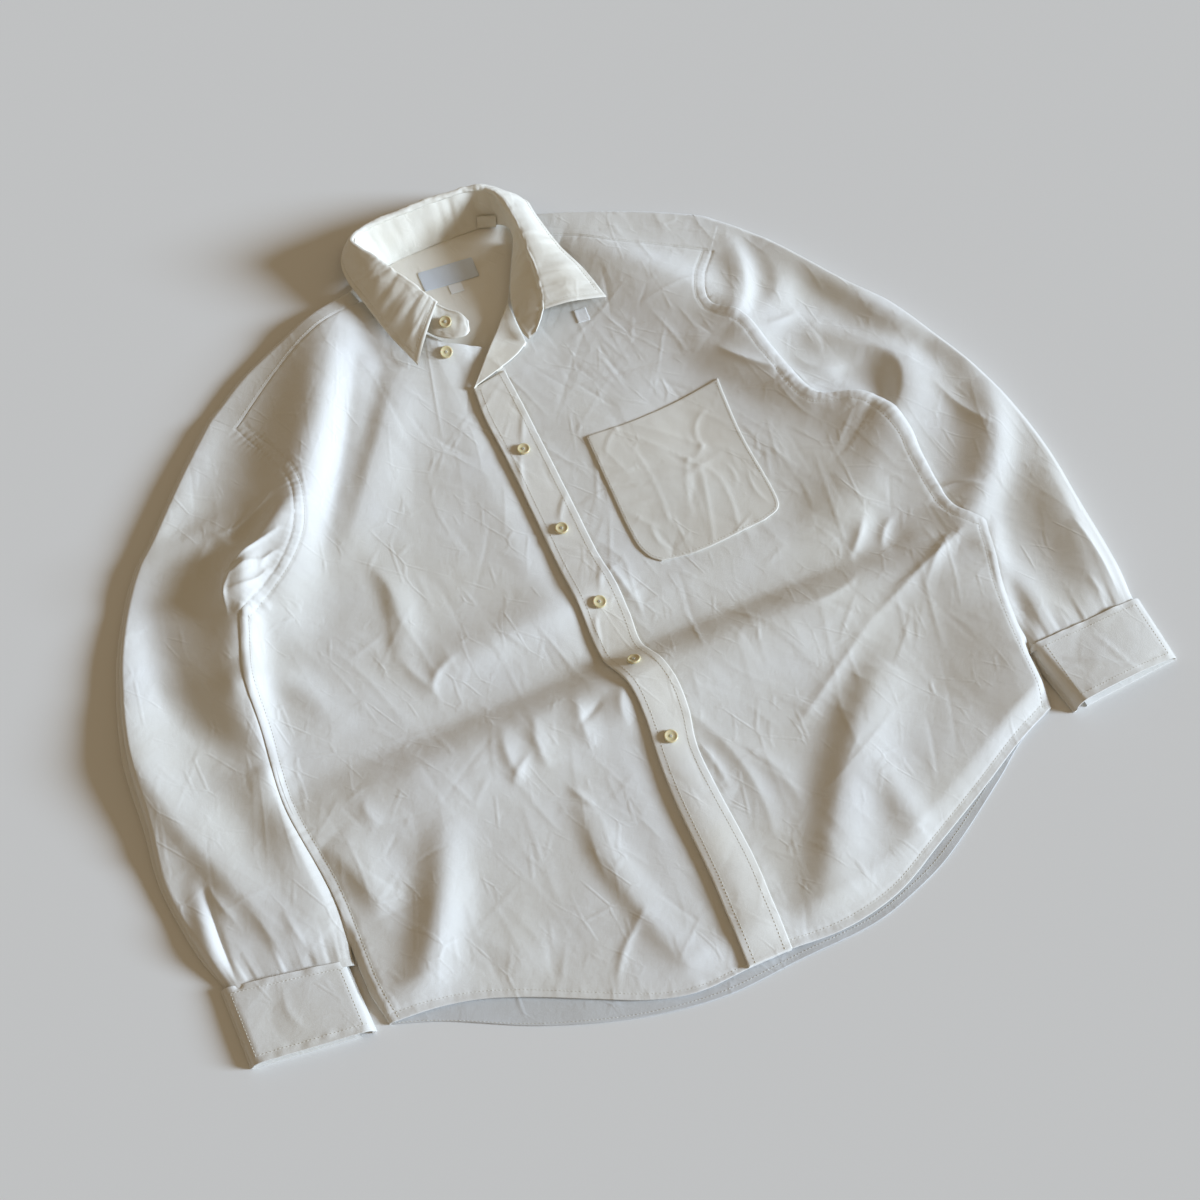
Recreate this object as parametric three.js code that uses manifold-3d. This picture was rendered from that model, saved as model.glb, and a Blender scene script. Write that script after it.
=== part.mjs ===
// A crumpled long-sleeved button-up shirt, laid on its back on a flat surface.
// Millimetres, +Z up. The surface is z = 0, +Y runs from the hem to the collar, and +X is the
// wearer's left, so "right" pieces (wearer's right) lie at negative X. The origin is on the
// surface under the third placket button.
import * as THREE from 'three';
import { mergeVertices } from 'three/addons/utils/BufferGeometryUtils.js';
import Module from 'manifold-3d';

const wasm = await Module();
wasm.setup();

// ---------------------------------------------------------------- driving dimensions
const CLOTH = 1.2;              // wall of one layer of shirting
const COLLAR_WALL = 1.6;        // collar and cuffs: two layers and an interlining
const SEAM = 0.3;               // clearance between sewn pieces
const LAY = 0.9;                // clearance between layers that lie on each other
const LAYER_Z = CLOTH + SEAM;   // underside of a layer that lies on one layer of cloth
const LOFT = 6;                 // how far the fronts and sleeves stand off what they lie on
const LEAST_LOFT = 3;           // how far they stand off it in the deepest trough
const UNDERLAP_DROP = CLOTH + LAY;      // the button band lies this much below the placket front
const SIDE_ROUND = 9;           // width over which a side or sleeve edge rounds down
const HEM_ROUND = 30;           // width over which a front comes down to its hem
const HEM_LIE = 0.25;           // share of its height that a fold keeps at the hem
const BUTTON = { radius: 5.75, thick: 2.4, rim: 1.3, dish: 0.7, bevel: 0.5, waist: 0.7, sides: 16 };
const LABEL = { x: 33, y: 364, length: 52, width: 22, thick: 1.0, turn: -0.09 };
const SIZE_TAG = { x: 33, y: 347, length: 12, width: 10, thick: 1.0, turn: -0.09 };
const STAY_TAB = { x: 119, y: 262, length: 9, width: 12, thick: 1.0, turn: 0.1 };
// Hanger loop: its share of the way round the stand, its share of the stand's height, its wall.
const HANGER_LOOP = { from: 0.585, to: 0.62, low: 0.06, high: 0.3, thick: 1.0 };

const COLOUR = { cloth: 0xddd9cf, placket: 0xddd6c6, collar: 0xded6bf, button: 0xd9cf9f,
  label: 0xc9ccd2, tag: 0xdedcd8 };

// ---------------------------------------------------------------- tables of the outline
// Rows of [x, y] run along the edge they name. Each edge is a smooth curve through its rows.
const table = (names, rows) => {
  const columns = names.split(' ');
  return rows.map((row) => Object.fromEntries(row.map((value, i) => [columns[i], value])));
};

const RIGHT_SIDE = table('x y', [[-291, -262], [-294, -232], [-291, -150], [-297, -70],
  [-289, 0], [-284, 50], [-268, 98]]);
const RIGHT_ARMHOLE = table('x y', [[-268, 98], [-245, 115], [-217, 136], [-197, 160],
  [-186, 188], [-184, 210], [-190, 241], [-203, 283]]);
const LEFT_SIDE = table('x y', [[288, -254], [292, -239], [299, -191], [309, -143], [321, -108],
  [329, -83]]);
const LEFT_ARMHOLE = table('x y', [[329, -83], [313, -60], [311, -35], [312, 0], [314, 24],
  [305, 60], [293, 76], [259, 95], [249, 152], [244, 190], [224, 219], [236, 250], [258, 277]]);
const LEFT_TIP = { x: 284, y: 310 };            // where the armhole meets the shoulder fold
const HEM_LOW = { x: 6, y: -353 };              // lowest point of the back's hem

const BACK_HEM = table('x y', [[-297, -266], [-260, -281], [-194, -316], [-124, -342], [-60, -354],
  [6, -353], [70, -352], [110, -343], [151, -328], [219, -290], [256, -267], [290, -254]]);
const RIGHT_FRONT_HEM = table('x y', [[-291, -262], [-254, -267], [-224, -275], [-190, -290],
  [-151, -311], [-111, -332], [-76, -343], [-32.5, -344]]);
const LEFT_FRONT_HEM = table('x y', [[2, -342], [52, -345], [100, -337], [148, -316],
  [205, -290], [251, -268], [288, -254]]);

// The placket's free edge and its sewn edge, from the hem up to where its top turns over.
const PLACKET_FREE = table('x y', [[-32.5, -341], [-29, -300], [-25.5, -265], [-21.6, -199],
  [-16.8, -160], [-11, -125], [-10, -97], [-16, -62], [-15.5, -38], [-13, -10], [-11.5, 30],
  [-8.5, 85], [-5, 160], [-4.2, 200], [0, 232]]);
const PLACKET_SEWN = table('x y', [[2.5, -342], [7, -300], [11, -262], [12.4, -199],
  [15, -162], [23, -132], [26, -105], [23.5, -82], [18, -58], [21.5, -30], [23.3, 0], [22.8, 35],
  [25.3, 83], [28.5, 150], [30.5, 195], [31.5, 238]]);
// Above that, the right front runs on to its neckline and the left front rolls open.
const BAND_INNER_TOP = table('x y', [[0, 232], [0, 258], [-4, 284]]);
const BAND_EDGE_TOP = table('x y', [[31.5, 238], [30, 256], [26, 270]]);
const ROLL_TOP = table('x y', [[0, 232], [20, 254], [45, 281], [66, 306], [84, 338], [101, 369]]);
const ROLL_INNER_TOP = table('x y', [[31.5, 238], [49, 256], [66, 276], [82, 302], [98, 334],
  [110, 366]]);
const RIGHT_NECK = table('x y', [[-203, 283], [-158, 318], [-120, 341], [-91, 353], [-50, 364],
  [-34, 350], [-24, 320], [-4, 284]]);
const LEFT_YOKE_SEAM = table('x y', [[110, 366], [145, 351], [180, 325], [218, 303], [258, 277]]);
// Turned-over top of the placket: its rolled edge and its far edge.
const TURN_ROLL = table('x y', [[1, 233], [20, 254], [45, 281], [65, 304]]);
const TURN_FAR = table('x y', [[29, 241.5], [41, 246], [52, 251], [61, 257]]);

// Yoke: the fold over each shoulder, and the seam to the front.
const RIGHT_SHOULDER = table('x y', [[-222, 306], [-180, 336], [-133, 359], [-96, 374],
  [-58, 384]]);
const RIGHT_YOKE_SEAM = table('x y', [[-204, 284], [-158, 319], [-120, 342], [-91, 354],
  [-54, 366]]);
const LEFT_SHOULDER = table('x y', [[122, 394], [138, 391], [173, 377], [223, 353], [271, 324],
  [284, 310]]);
const LEFT_YOKE_EDGE = table('x y', [[111, 367], [145, 352], [180, 326], [218, 304], [258, 278]]);
const BACK_NECK = table('x y', [[-58, 384], [-38, 394], [-10, 399], [30, 401], [70, 401],
  [102, 398], [122, 394]]);

// Sleeves: inner line and outer fold, each from the shoulder to the cuff. The inner line first
// runs inside the body's outline, which trims the sleeve along the armhole, then under the arm.
const RIGHT_SLEEVE_HEAD = table('x y', [[-190, 316], [-170, 270], [-157, 228], [-155, 195],
  [-164, 158], [-187, 130], [-214, 108], [-250, 90], [-270, 98]]);
const RIGHT_UNDERARM = table('x y', [[-270, 98], [-286, 50], [-291, 0], [-299, -70],
  [-294, -125], [-296, -165], [-303, -204]]);
const RIGHT_SLEEVE_OUTER = table('x y', [[-200, 321], [-222, 306], [-247, 281], [-278, 247],
  [-309, 211], [-331, 188], [-356, 148], [-378, 97], [-396, 27], [-402, -37], [-408, -84],
  [-403, -140], [-394, -184]]);
const LEFT_SLEEVE_HEAD = table('x y', [[250, 322], [220, 268], [206, 217], [222, 150],
  [236, 84], [266, 48], [290, 0], [297, -50], [312, -78], [331, -84]]);
const LEFT_UNDERARM = table('x y', [[331, -84], [323, -109], [311, -143], [304, -175],
  [303, -203]]);
const LEFT_SLEEVE_OUTER = table('x y', [[264, 328.5], [284, 310], [309, 278], [330, 241],
  [356, 193], [378, 160], [394, 115], [411, 57], [420, 5], [421, -43], [416, -97], [412, -150],
  [407, -199]]);
const HEAD_SHARE = { right: 0.44, left: 0.77 };     // share of the rows above the underarm
// Cuffs: corners in plan, and how high they stand inside at both edges and more at the mouth.
const RIGHT_CUFF = { seamInner: [-303.2, -204.35], seamOuter: [-394, -184.35],
  mouthInner: [-304, -263], mouthOuter: [-395, -249], inner: 5, outer: 5, mouthRise: 1 };
const LEFT_CUFF = { seamInner: [303, -203.35], seamOuter: [407, -199.35],
  mouthInner: [305, -265], mouthOuter: [404, -260], inner: 13, outer: 3, mouthRise: 5 };

// ---------------------------------------------------------------- table of the folds
// A fold runs from (x0,y0) by (xm,ym) to (x1,y1). It is h0, hm and h1 high on the way, and falls
// away over the widths left and right of that direction. A trough has a negative height.
const FOLDS = table('x0 y0 xm ym x1 y1 left right h0 hm h1', [
  // right front: the ridge from the shoulder along the armhole, and the next one beside it
  [-92, 340, -160, 222, -244, 106, 32, 44, 11, 20, 10],
  [-60, 268, -104, 205, -168, 118, 26, 14, 3, 7, 2],
  [-84, 306, -130, 222, -184, 136, 9, 12, -2, -4, -1],
  [-150, 104, -146, 60, -162, 14, 12, 9, 1, 3, 1],
  [-292, 44, -256, 34, -232, -14, 14, 12, 3, 4, 1],
  // the long ridge across both fronts and the valley above it
  [-285, -94, -10, -90, 262, -98, 24, 44, 3, 9, 7],
  [-270, -50, -10, -54, 245, -60, 26, 15, -2, -4, -3],
  [-150, -12, -64, -2, 30, 2, 22, 16, 1, 4, 2],
  // folds above the hem
  [-190, -130, -219, -194, -262, -252, 17, 17, 1, 8, 4],
  [-280, -112, -266, -150, -262, -186, 20, 11, 1, 5, 1],
  [-86, -165, -90, -230, -72, -315, 16, 10, 1, 4, 2],
  [190, -165, 122, -222, 42, -325, 26, 18, 2, 9, 3],
  [136, -236, 137, -275, 138, -300, 14, 14, 1, 4, 2],
  [-4, -84, -8, -200, -15, -330, 20, 20, 2, 3, 3],
  // left front: shoulder ridge, armhole ridges, the hollow by the pocket and the hump below
  [130, 338, 186, 280, 243, 196, 30, 60, 3, 14, 12],
  [198, 182, 226, 138, 258, 98, 14, 18, 2, 5, 3],
  [243, 190, 262, 112, 302, 62, 22, 30, 5, 13, 8],
  [302, 62, 314, 20, 308, -50, 16, 34, 7, 12, 3],
  [150, 140, 174, 62, 190, -15, 30, 34, -2, -4, -1],
  [214, -30, 256, -4, 298, 40, 34, 26, 3, 5, 2],
  [322, -100, 296, -165, 284, -240, 12, 46, 5, 9, 7],
  [-30, 306, -6, 286, 16, 276, 14, 14, 3, 9, 5],
  // right sleeve: outer edge, crease and underarm crumple, long ridges, pleat
  [-226, 292, -286, 230, -336, 178, 17, 10, 2, 4, 2],
  [-346, 158, -384, 60, -398, -60, 15, 9, 2, 4, 2],
  [-196, 197, -260, 192, -344, 152, 16, 9, 2, 5, 2],
  [-188, 182, -230, 158, -272, 120, 12, 10, 2, 6, 4],
  [-262, 118, -284, 60, -300, -10, 14, 50, 5, 10, 5],
  [-350, 90, -334, 34, -303, -28, 10, 24, -1, -4, -2],
  [-390, 50, -364, -60, -314, -160, 15, 19, 2, 7, 4],
  [-384, -100, -390, -148, -388, -186, 7, 8, 1, 4, 3],
  // left sleeve: ridges below the shoulder, the outer one, the hollow, and ridges to the cuff
  [278, 276, 268, 236, 246, 203, 9, 15, 2, 6, 5],
  [303, 262, 298, 222, 274, 196, 18, 12, 2, 4, 2],
  [300, 258, 318, 178, 374, 100, 20, 18, -1, -4, -3],
  [318, 266, 350, 180, 404, 74, 14, 16, 2, 6, 4],
  [352, 124, 344, 88, 318, 54, 20, 22, 3, 7, 4],
  [402, 48, 380, -14, 320, -74, 16, 22, 4, 9, 5],
  [408, -48, 394, -110, 386, -188, 13, 26, 1, 5, 4],
  [314, -104, 324, -150, 318, -194, 14, 10, 2, 4, 6],
]);

// ---------------------------------------------------------------- collar tables
// The stand, from its right front end round the back of the neck to its left front end: the
// line sewn to the neck, and the line on which the leaf rolls over.
const STAND = table('bx by bz tx ty tz', [
  [19, 283, 21, 22, 292, 24], [13, 280, 21, 18, 301, 27], [0, 284, 20, 9, 310, 28],
  [-12, 297, 18, -1, 324, 31], [-21, 325, 15, -12, 346, 34], [-27, 358, 12, -25, 374, 36],
  [-30, 384, 8, -38, 404, 38], [-22, 395, 2.4, -32, 417, 38], [10, 400, 2, 10, 422, 38],
  [60, 401, 2, 60, 422, 38], [92, 399, 2.4, 86, 418, 38], [103, 389, 6, 99, 407, 38],
  [101, 368, 11.5, 104, 377, 36], [85, 338, 14, 103, 348, 34], [69, 306, 14.5, 98, 310, 29],
  [63, 282, 15, 91, 281, 26], [62, 264, 15, 82, 267, 24], [64, 256, 15.5, 72, 258, 19],
]);
// The leaf: the roll line and its lower edge, from the right point to the left point.
const LEAF = table('rx ry rz ex ey ez', [
  [2, 316, 30, -36, 273, 14], [-8, 337, 33, -47, 320, 15], [-20, 362, 36, -52, 352, 17],
  [-30, 385, 38, -56, 386, 16], [-41, 410, 38, -51, 412, 13], [-22, 420, 38, -34, 436, 5],
  [20, 423, 38, 18, 441, 4], [60, 423, 38, 64, 440, 4], [86, 419, 38, 104, 434, 6],
  [101, 405, 38, 127, 404, 15], [105, 374, 36, 127, 374, 23], [103, 342, 33, 132, 336, 20],
  [98, 306, 29, 141, 298, 20], [89, 273, 24, 145, 265, 19],
]);
const LEAF_STEPS = 6;
const LEAF_BULGE = 3;           // how far the leaf bows out between roll and edge
const STAND_STEPS = 4;

// Each placket button, and how far it sinks into the fold that it lies across.
const BUTTONS = table('x y drop', [[11, 154, 0], [6, 67, 0], [3, -11, 0], [3, -76, 1.1],
  [-1, -148, 0]]);
const TOP_BUTTON = { x: -7, y: 277, drop: 0.9 };
const STAND_BUTTON = { along: 0.057, up: 0.5 };
const POCKET_LEFT = table('x y', [[68, 3], [61, 11], [57, 28], [61, 87], [66, 142]]);
const POCKET_RIGHT = table('x y', [[164, 1], [180, 7], [185, 22], [188, 88], [195, 146]]);
const POCKET_BOTTOM = table('x y', [[68, 3], [101, -2], [164, 1]]);
const POCKET_TOP = table('x y', [[66, 142], [116, 140], [195, 146]]);

// ---------------------------------------------------------------- curves
// A smooth curve through a table's rows, by share t of its chord length.
function curve(rows, names = ['x', 'y']) {
  const points = rows.map((row) => names.map((name) => row[name]));
  const last = points.length - 1;
  const lengths = [0];
  for (let i = 1; i <= last; i += 1) {
    const step = Math.hypot(...points[i].map((value, k) => value - points[i - 1][k]));
    lengths.push(lengths[i - 1] + step);
  }
  const slope = (i, k) => {
    const a = Math.max(i - 1, 0);
    const b = Math.min(i + 1, last);
    return (points[b][k] - points[a][k]) / (lengths[b] - lengths[a]);
  };
  return (t) => {
    const s = Math.min(Math.max(t, 0), 1) * lengths[last];
    let i = 0;
    while (i < last - 1 && s > lengths[i + 1]) i += 1;
    const h = lengths[i + 1] - lengths[i];
    const r = (s - lengths[i]) / h;
    return points[i].map((value, k) => {
      const a = (1 + 2 * r) * (1 - r) ** 2 * value + r * r * (3 - 2 * r) * points[i + 1][k];
      return a + h * (r * (1 - r) ** 2 * slope(i, k) - r * r * (1 - r) * slope(i + 1, k));
    });
  };
}

// One curve after another: the first holds up to share s of the whole.
const chain = (first, second, s) => (t) => (t < s ? first(t / s) : second((t - s) / (1 - s)));
const mix = (a, b, t) => a.map((value, k) => value + (b[k] - value) * t);
const clamp01 = (t) => Math.min(Math.max(t, 0), 1);
const smooth = (t) => clamp01(t) ** 2 * (3 - 2 * clamp01(t));
const roundEdge = (d, width) => Math.sqrt(1 - (1 - clamp01(d / width)) ** 2);
const distance = (a, b) => Math.hypot(a[0] - b[0], a[1] - b[1]);
// Shares from 0 to 1 in n steps, closer together near both ends.
const shares = (n, crowd = 0.5) => Array.from({ length: n + 1 }, (_, i) => (
  i / n - (crowd * Math.sin((2 * Math.PI * i) / n)) / (2 * Math.PI)));

// A patch between four edge curves: a(u) below, b(u) above, c(v) at u = 0, d(v) at u = 1.
const patch = (a, b, c, d) => (u, v) => {
  const along = mix(a(u), b(u), v);
  const across = mix(c(v), d(v), u);
  const corners = mix(mix(a(0), a(1), u), mix(b(0), b(1), u), v);
  return along.map((value, k) => value + across[k] - corners[k]);
};

// ---------------------------------------------------------------- the lie of the cloth
// Height of one fold at (x, y): the fold is a parabola through its three rows. Round its ends,
// its width turns from the left one to the right one.
const FOLD_PARTS = 12;
const TINY = 1e-6;
const foldLines = FOLDS.map((fold) => {
  const points = [];
  for (let i = 0; i <= FOLD_PARTS; i += 1) {
    const t = i / FOLD_PARTS;
    const a = (1 - t) * (1 - 2 * t);
    const b = 4 * t * (1 - t);
    const c = t * (2 * t - 1);
    points.push([a * fold.x0 + b * fold.xm + c * fold.x1, a * fold.y0 + b * fold.ym + c * fold.y1,
      a * fold.h0 + b * fold.hm + c * fold.h1]);
  }
  return { fold, points };
});

function foldHeight({ fold, points }, x, y) {
  let best = Infinity;
  let height = 0;
  for (let i = 0; i < FOLD_PARTS; i += 1) {
    const [ax, ay, ah] = points[i];
    const [bx, by, bh] = points[i + 1];
    const dx = bx - ax;
    const dy = by - ay;
    const t = clamp01(((x - ax) * dx + (y - ay) * dy) / (dx * dx + dy * dy));
    const gap = Math.hypot(x - ax - t * dx, y - ay - t * dy);
    if (gap < best) {
      best = gap;
      const off = (dx * (y - ay) - dy * (x - ax)) / (Math.hypot(dx, dy) * Math.max(gap, TINY));
      const side = (fold.left + fold.right) / 2 + (off * (fold.left - fold.right)) / 2;
      height = (ah + (bh - ah) * t) * Math.exp(-((gap / side) ** 2));
    }
  }
  return height;
}

// Height of the upper layers' underside above the layer they lie on.
const lie = (x, y) => {
  const height = foldLines.reduce((sum, line) => sum + foldHeight(line, x, y), LOFT);
  const bent = LEAST_LOFT + (Math.max(height, 0) ** 2) / (4 * LEAST_LOFT);
  return height > 2 * LEAST_LOFT ? height : bent;
};

// Underside of an upper layer: edge is its distance to a rounded edge, hem to the hem, and
// hemZ is where its hem lies.
function frontZ(x, y, edge, hem, hemZ) {
  const rise = smooth(hem / HEM_ROUND);
  const stand = lie(x, y) * roundEdge(edge, SIDE_ROUND) * (HEM_LIE + (1 - HEM_LIE) * rise);
  return LAYER_Z + (hemZ - LAYER_Z) * (1 - rise) + stand;
}
const upperZ = (x, y) => LAYER_Z + lie(x, y);

// ---------------------------------------------------------------- solids
// A wall from rows of outer and inner points. Rows close on themselves when loop is true.
function shell(rows, loop = false) {
  const wide = rows[0].outer.length;
  const positions = [];
  rows.forEach(({ outer, inner }) => [...outer, ...inner].forEach((p) => positions.push(...p)));
  const out = (j, i) => j * 2 * wide + (i % wide);
  const into = (j, i) => out(j, i) + wide;
  const index = [];
  const quad = (a, b, c, d) => index.push(a, b, c, a, c, d);
  const cells = loop ? wide : wide - 1;
  const last = rows.length - 1;
  for (let j = 0; j < last; j += 1) {
    for (let i = 0; i < cells; i += 1) {
      quad(out(j, i), out(j + 1, i), out(j + 1, i + 1), out(j, i + 1));
      quad(into(j, i), into(j, i + 1), into(j + 1, i + 1), into(j + 1, i));
    }
    if (!loop) {
      quad(into(j, 0), into(j + 1, 0), out(j + 1, 0), out(j, 0));
      quad(out(j, cells), out(j + 1, cells), into(j + 1, cells), into(j, cells));
    }
  }
  for (let i = 0; i < cells; i += 1) {
    quad(into(0, i), out(0, i), out(0, i + 1), into(0, i + 1));
    quad(out(last, i), into(last, i), into(last, i + 1), out(last, i + 1));
  }
  return facingOut(positions, index);
}

function facingOut(positions, index) {
  let volume = 0;
  const at = (i) => new THREE.Vector3().fromArray(positions, 3 * i);
  for (let i = 0; i < index.length; i += 3) {
    volume += at(index[i]).dot(at(index[i + 1]).cross(at(index[i + 2])));
  }
  const geometry = new THREE.BufferGeometry();
  geometry.setAttribute('position', new THREE.Float32BufferAttribute(positions, 3));
  geometry.setIndex(volume < 0 ? [...index].reverse() : index);
  return geometry;
}

// How much taller than its wall a sloping layer measures straight up.
const STEEPEST = 1.8;
function steepness(height, x, y) {
  const step = 1;
  const dx = (height(x + step, y) - height(x - step, y)) / (2 * step);
  const dy = (height(x, y + step) - height(x, y - step)) / (2 * step);
  return Math.min(Math.hypot(1, dx, dy), STEEPEST);
}

// A layer from rows of {x, y, z} at its underside, as thick as its cloth, lifted by lift.
function layer(rows, wall = CLOTH, lift = 0) {
  return shell(rows.map((row) => ({
    inner: row.map((p) => [p.x, p.y, p.z + lift * p.steep]),
    outer: row.map((p) => [p.x, p.y, p.z + (lift + wall) * p.steep]),
  })));
}

// A wall about rows of middle points, half its thickness to each side.
function bentWall(grid, wall) {
  const at = (j, i) => new THREE.Vector3(...grid[j][i]);
  const end = grid.length - 1;
  const side = grid[0].length - 1;
  return shell(grid.map((row, j) => {
    const sides = row.map((_, i) => {
      const along = at(Math.min(j + 1, end), i).sub(at(Math.max(j - 1, 0), i));
      const across = at(j, Math.min(i + 1, side)).sub(at(j, Math.max(i - 1, 0)));
      const normal = along.cross(across).normalize().multiplyScalar(wall / 2);
      return [at(j, i).add(normal).toArray(), at(j, i).sub(normal).toArray()];
    });
    return { outer: sides.map((pair) => pair[0]), inner: sides.map((pair) => pair[1]) };
  }));
}

function slab(points, thick, z) {
  const shape = new THREE.Shape(points.map(([x, y]) => new THREE.Vector2(x, y)));
  const geometry = new THREE.ExtrudeGeometry(shape, { depth: thick, bevelEnabled: false });
  geometry.translate(0, 0, z);
  return geometry;
}

// ---------------------------------------------------------------- scene graph
const shirt = new THREE.Group();
shirt.name = 'button_up_shirt';

function add(name, geometry, color, roughness = 0.85) {
  const material = new THREE.MeshStandardMaterial({ color, roughness, metalness: 0 });
  const mesh = new THREE.Mesh(geometry, material);
  mesh.name = name;
  shirt.add(mesh);
  return mesh;
}

function solid(geometry) {
  const plain = geometry.clone();
  plain.deleteAttribute('normal');
  plain.deleteAttribute('uv');
  const merged = mergeVertices(plain, 1e-4);
  return new wasm.Manifold(new wasm.Mesh({ numProp: 3,
    vertProperties: new Float32Array(merged.attributes.position.array),
    triVerts: new Uint32Array(merged.index.array) }));
}

function geometryOf(manifold) {
  const mesh = manifold.getMesh();
  const geometry = new THREE.BufferGeometry();
  geometry.setAttribute('position', new THREE.Float32BufferAttribute(mesh.vertProperties, 3));
  geometry.setIndex([...mesh.triVerts]);
  return geometry;
}

// ---------------------------------------------------------------- fronts and placket
const TURN = 0.82;              // share of a front's rows that lies below the turned-over top
const ROWS_BELOW = 25;
const ROWS_ABOVE = 7;
const COLUMNS = 16;
const FRONT_LENGTH = 720;
const PIT_SHARE = { right: 0.6, left: 0.3 };
const BAND_BLEND = 30;          // beside the placket, where the fronts part to lie on each other
const frontRows = [
  ...shares(ROWS_BELOW, 0.3).map((t) => t * TURN),
  ...shares(ROWS_ABOVE, 0).slice(1).map((t) => TURN + t * (1 - TURN)),
];
const placketRows = ROWS_BELOW + 1;
const freeEdge = curve(PLACKET_FREE);
const sewnEdge = curve(PLACKET_SEWN);
const EDGE_STEP = 0.05;         // share of its rows over which a side edge opens at the underarm

// Rows of one front's underside, from its side to the far edge of its band.
function frontGrid(main, bandFar, pitShare, drop) {
  return frontRows.map((v) => {
    const near = main(1, v);
    const width = distance(main(0, v), near);
    const plan = shares(COLUMNS).map((u) => main(u, v));
    plan.push(mix(near, bandFar(v), 0.5), bandFar(v));
    const open = smooth((v - pitShare) / EDGE_STEP) * SIDE_ROUND;
    return plan.map(([x, y], i) => {
      const inBand = i >= COLUMNS ? 1 : smooth(1 - distance([x, y], near) / BAND_BLEND);
      const edge = Math.min(distance(plan[0], [x, y]), width) + open;
      const hemZ = LAYER_Z + UNDERLAP_DROP * inBand;
      const height = (px, py) => frontZ(px, py, edge, v * FRONT_LENGTH, hemZ);
      const steep = steepness(height, x, y);
      return { x, y, z: height(x, y) - drop * inBand * steep, steep };
    });
  });
}

const rightBoundary = chain(curve(RIGHT_SIDE), curve(RIGHT_ARMHOLE), PIT_SHARE.right);
const rightMain = patch(
  curve(RIGHT_FRONT_HEM),
  curve(RIGHT_NECK),
  rightBoundary,
  chain(freeEdge, curve(BAND_INNER_TOP), TURN),
);
const rightBand = chain(sewnEdge, curve(BAND_EDGE_TOP), TURN);
const rightGrid = frontGrid(rightMain, rightBand, PIT_SHARE.right, UNDERLAP_DROP);

const leftBoundary = chain(curve(LEFT_SIDE), curve(LEFT_ARMHOLE), PIT_SHARE.left);
const leftMain = patch(
  curve([...LEFT_FRONT_HEM].reverse()),
  curve([...LEFT_YOKE_SEAM].reverse()),
  leftBoundary,
  chain(sewnEdge, curve(ROLL_INNER_TOP), TURN),
);
const leftBand = chain(freeEdge, curve(ROLL_TOP), TURN);
const leftGrid = frontGrid(leftMain, leftBand, PIT_SHARE.left, 0).map((row) => row.reverse());
const placketGrid = leftGrid.slice(0, placketRows).map((row) => row.slice(0, 3));

add('front_right', layer(rightGrid), COLOUR.cloth);
add('front_left', layer(leftGrid), COLOUR.cloth);
add('placket', layer(placketGrid, CLOTH, LAYER_Z), COLOUR.placket);

// A piece that lies on the left front, from a patch in plan: columns by rows, lifted off it.
function laidOn(plan, { columns, rows }, lift, wall = CLOTH) {
  return layer(shares(rows, 0).map((v) => shares(columns, 0).map((u) => {
    const [x, y] = plan(u, v);
    return { x, y, z: upperZ(x, y), steep: steepness(upperZ, x, y) };
  })), wall, lift);
}
const straight = (a, b) => (t) => mix(a, b, t);
const turnRoll = curve(TURN_ROLL);
const turnFar = curve(TURN_FAR);
const turnPatch = patch(straight(turnRoll(0), turnFar(0)), straight(turnRoll(1), turnFar(1)),
  turnRoll, turnFar);
const TURN_GRID = { columns: 4, rows: 8 };
const POCKET_GRID = { columns: 10, rows: 11 };
add('placket_turned_top', laidOn(turnPatch, TURN_GRID, CLOTH + LAY), COLOUR.placket);
const pocketPatch = patch(curve(POCKET_BOTTOM), curve(POCKET_TOP), curve(POCKET_LEFT),
  curve(POCKET_RIGHT));
add('chest_pocket', laidOn(pocketPatch, POCKET_GRID, CLOTH + LAY), COLOUR.placket);

// ---------------------------------------------------------------- back and yoke
const HEM_STEPS = 40;
const sideRight = frontRows.map((v) => rightBoundary(v));
const sideLeft = frontRows.map((v) => leftBoundary(v));
const alongCurve = (rows, n) => shares(n, 0).map(curve(rows));
const backHem = alongCurve(BACK_HEM, HEM_STEPS);
add('back', slab([...backHem, ...sideLeft, ...[...sideRight].reverse()], CLOTH, 0), COLOUR.cloth);

const SHOULDER_STEPS = 9;
const NECK_STEPS = 12;
const YOKE_ACROSS = 5;
const YOKE_LEG = 22;            // how far the folded strip runs back under itself

// The strip of the yoke that folds over one shoulder, seam to fold, then back underneath.
function shoulderStrip(fold, seam) {
  return shell(shares(SHOULDER_STEPS, 0).map((t) => {
    const width = distance(fold(t), seam(t));
    const section = (inset, topZ, legZ) => {
      const across = shares(YOKE_ACROSS, -0.5).map((u) => {
        const [x, y] = mix(seam(t), fold(t), u * (1 - inset / width));
        const z = LAYER_Z + lie(x, y) * roundEdge((1 - u) * width, SIDE_ROUND);
        return [x, y, z + topZ];
      });
      const foot = mix(fold(t), seam(t), inset / width);
      const end = mix(fold(t), seam(t), YOKE_LEG / width);
      return [...across, [...foot, legZ], [...end, legZ]];
    };
    return { outer: section(0, CLOTH, 0), inner: section(CLOTH, 0, CLOTH) };
  }));
}
const rightFold = curve(RIGHT_SHOULDER);
const leftFold = curve(LEFT_SHOULDER);
const rightStrip = shoulderStrip(rightFold, curve(RIGHT_YOKE_SEAM));
const leftStrip = shoulderStrip(leftFold, curve(LEFT_YOKE_EDGE));
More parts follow.
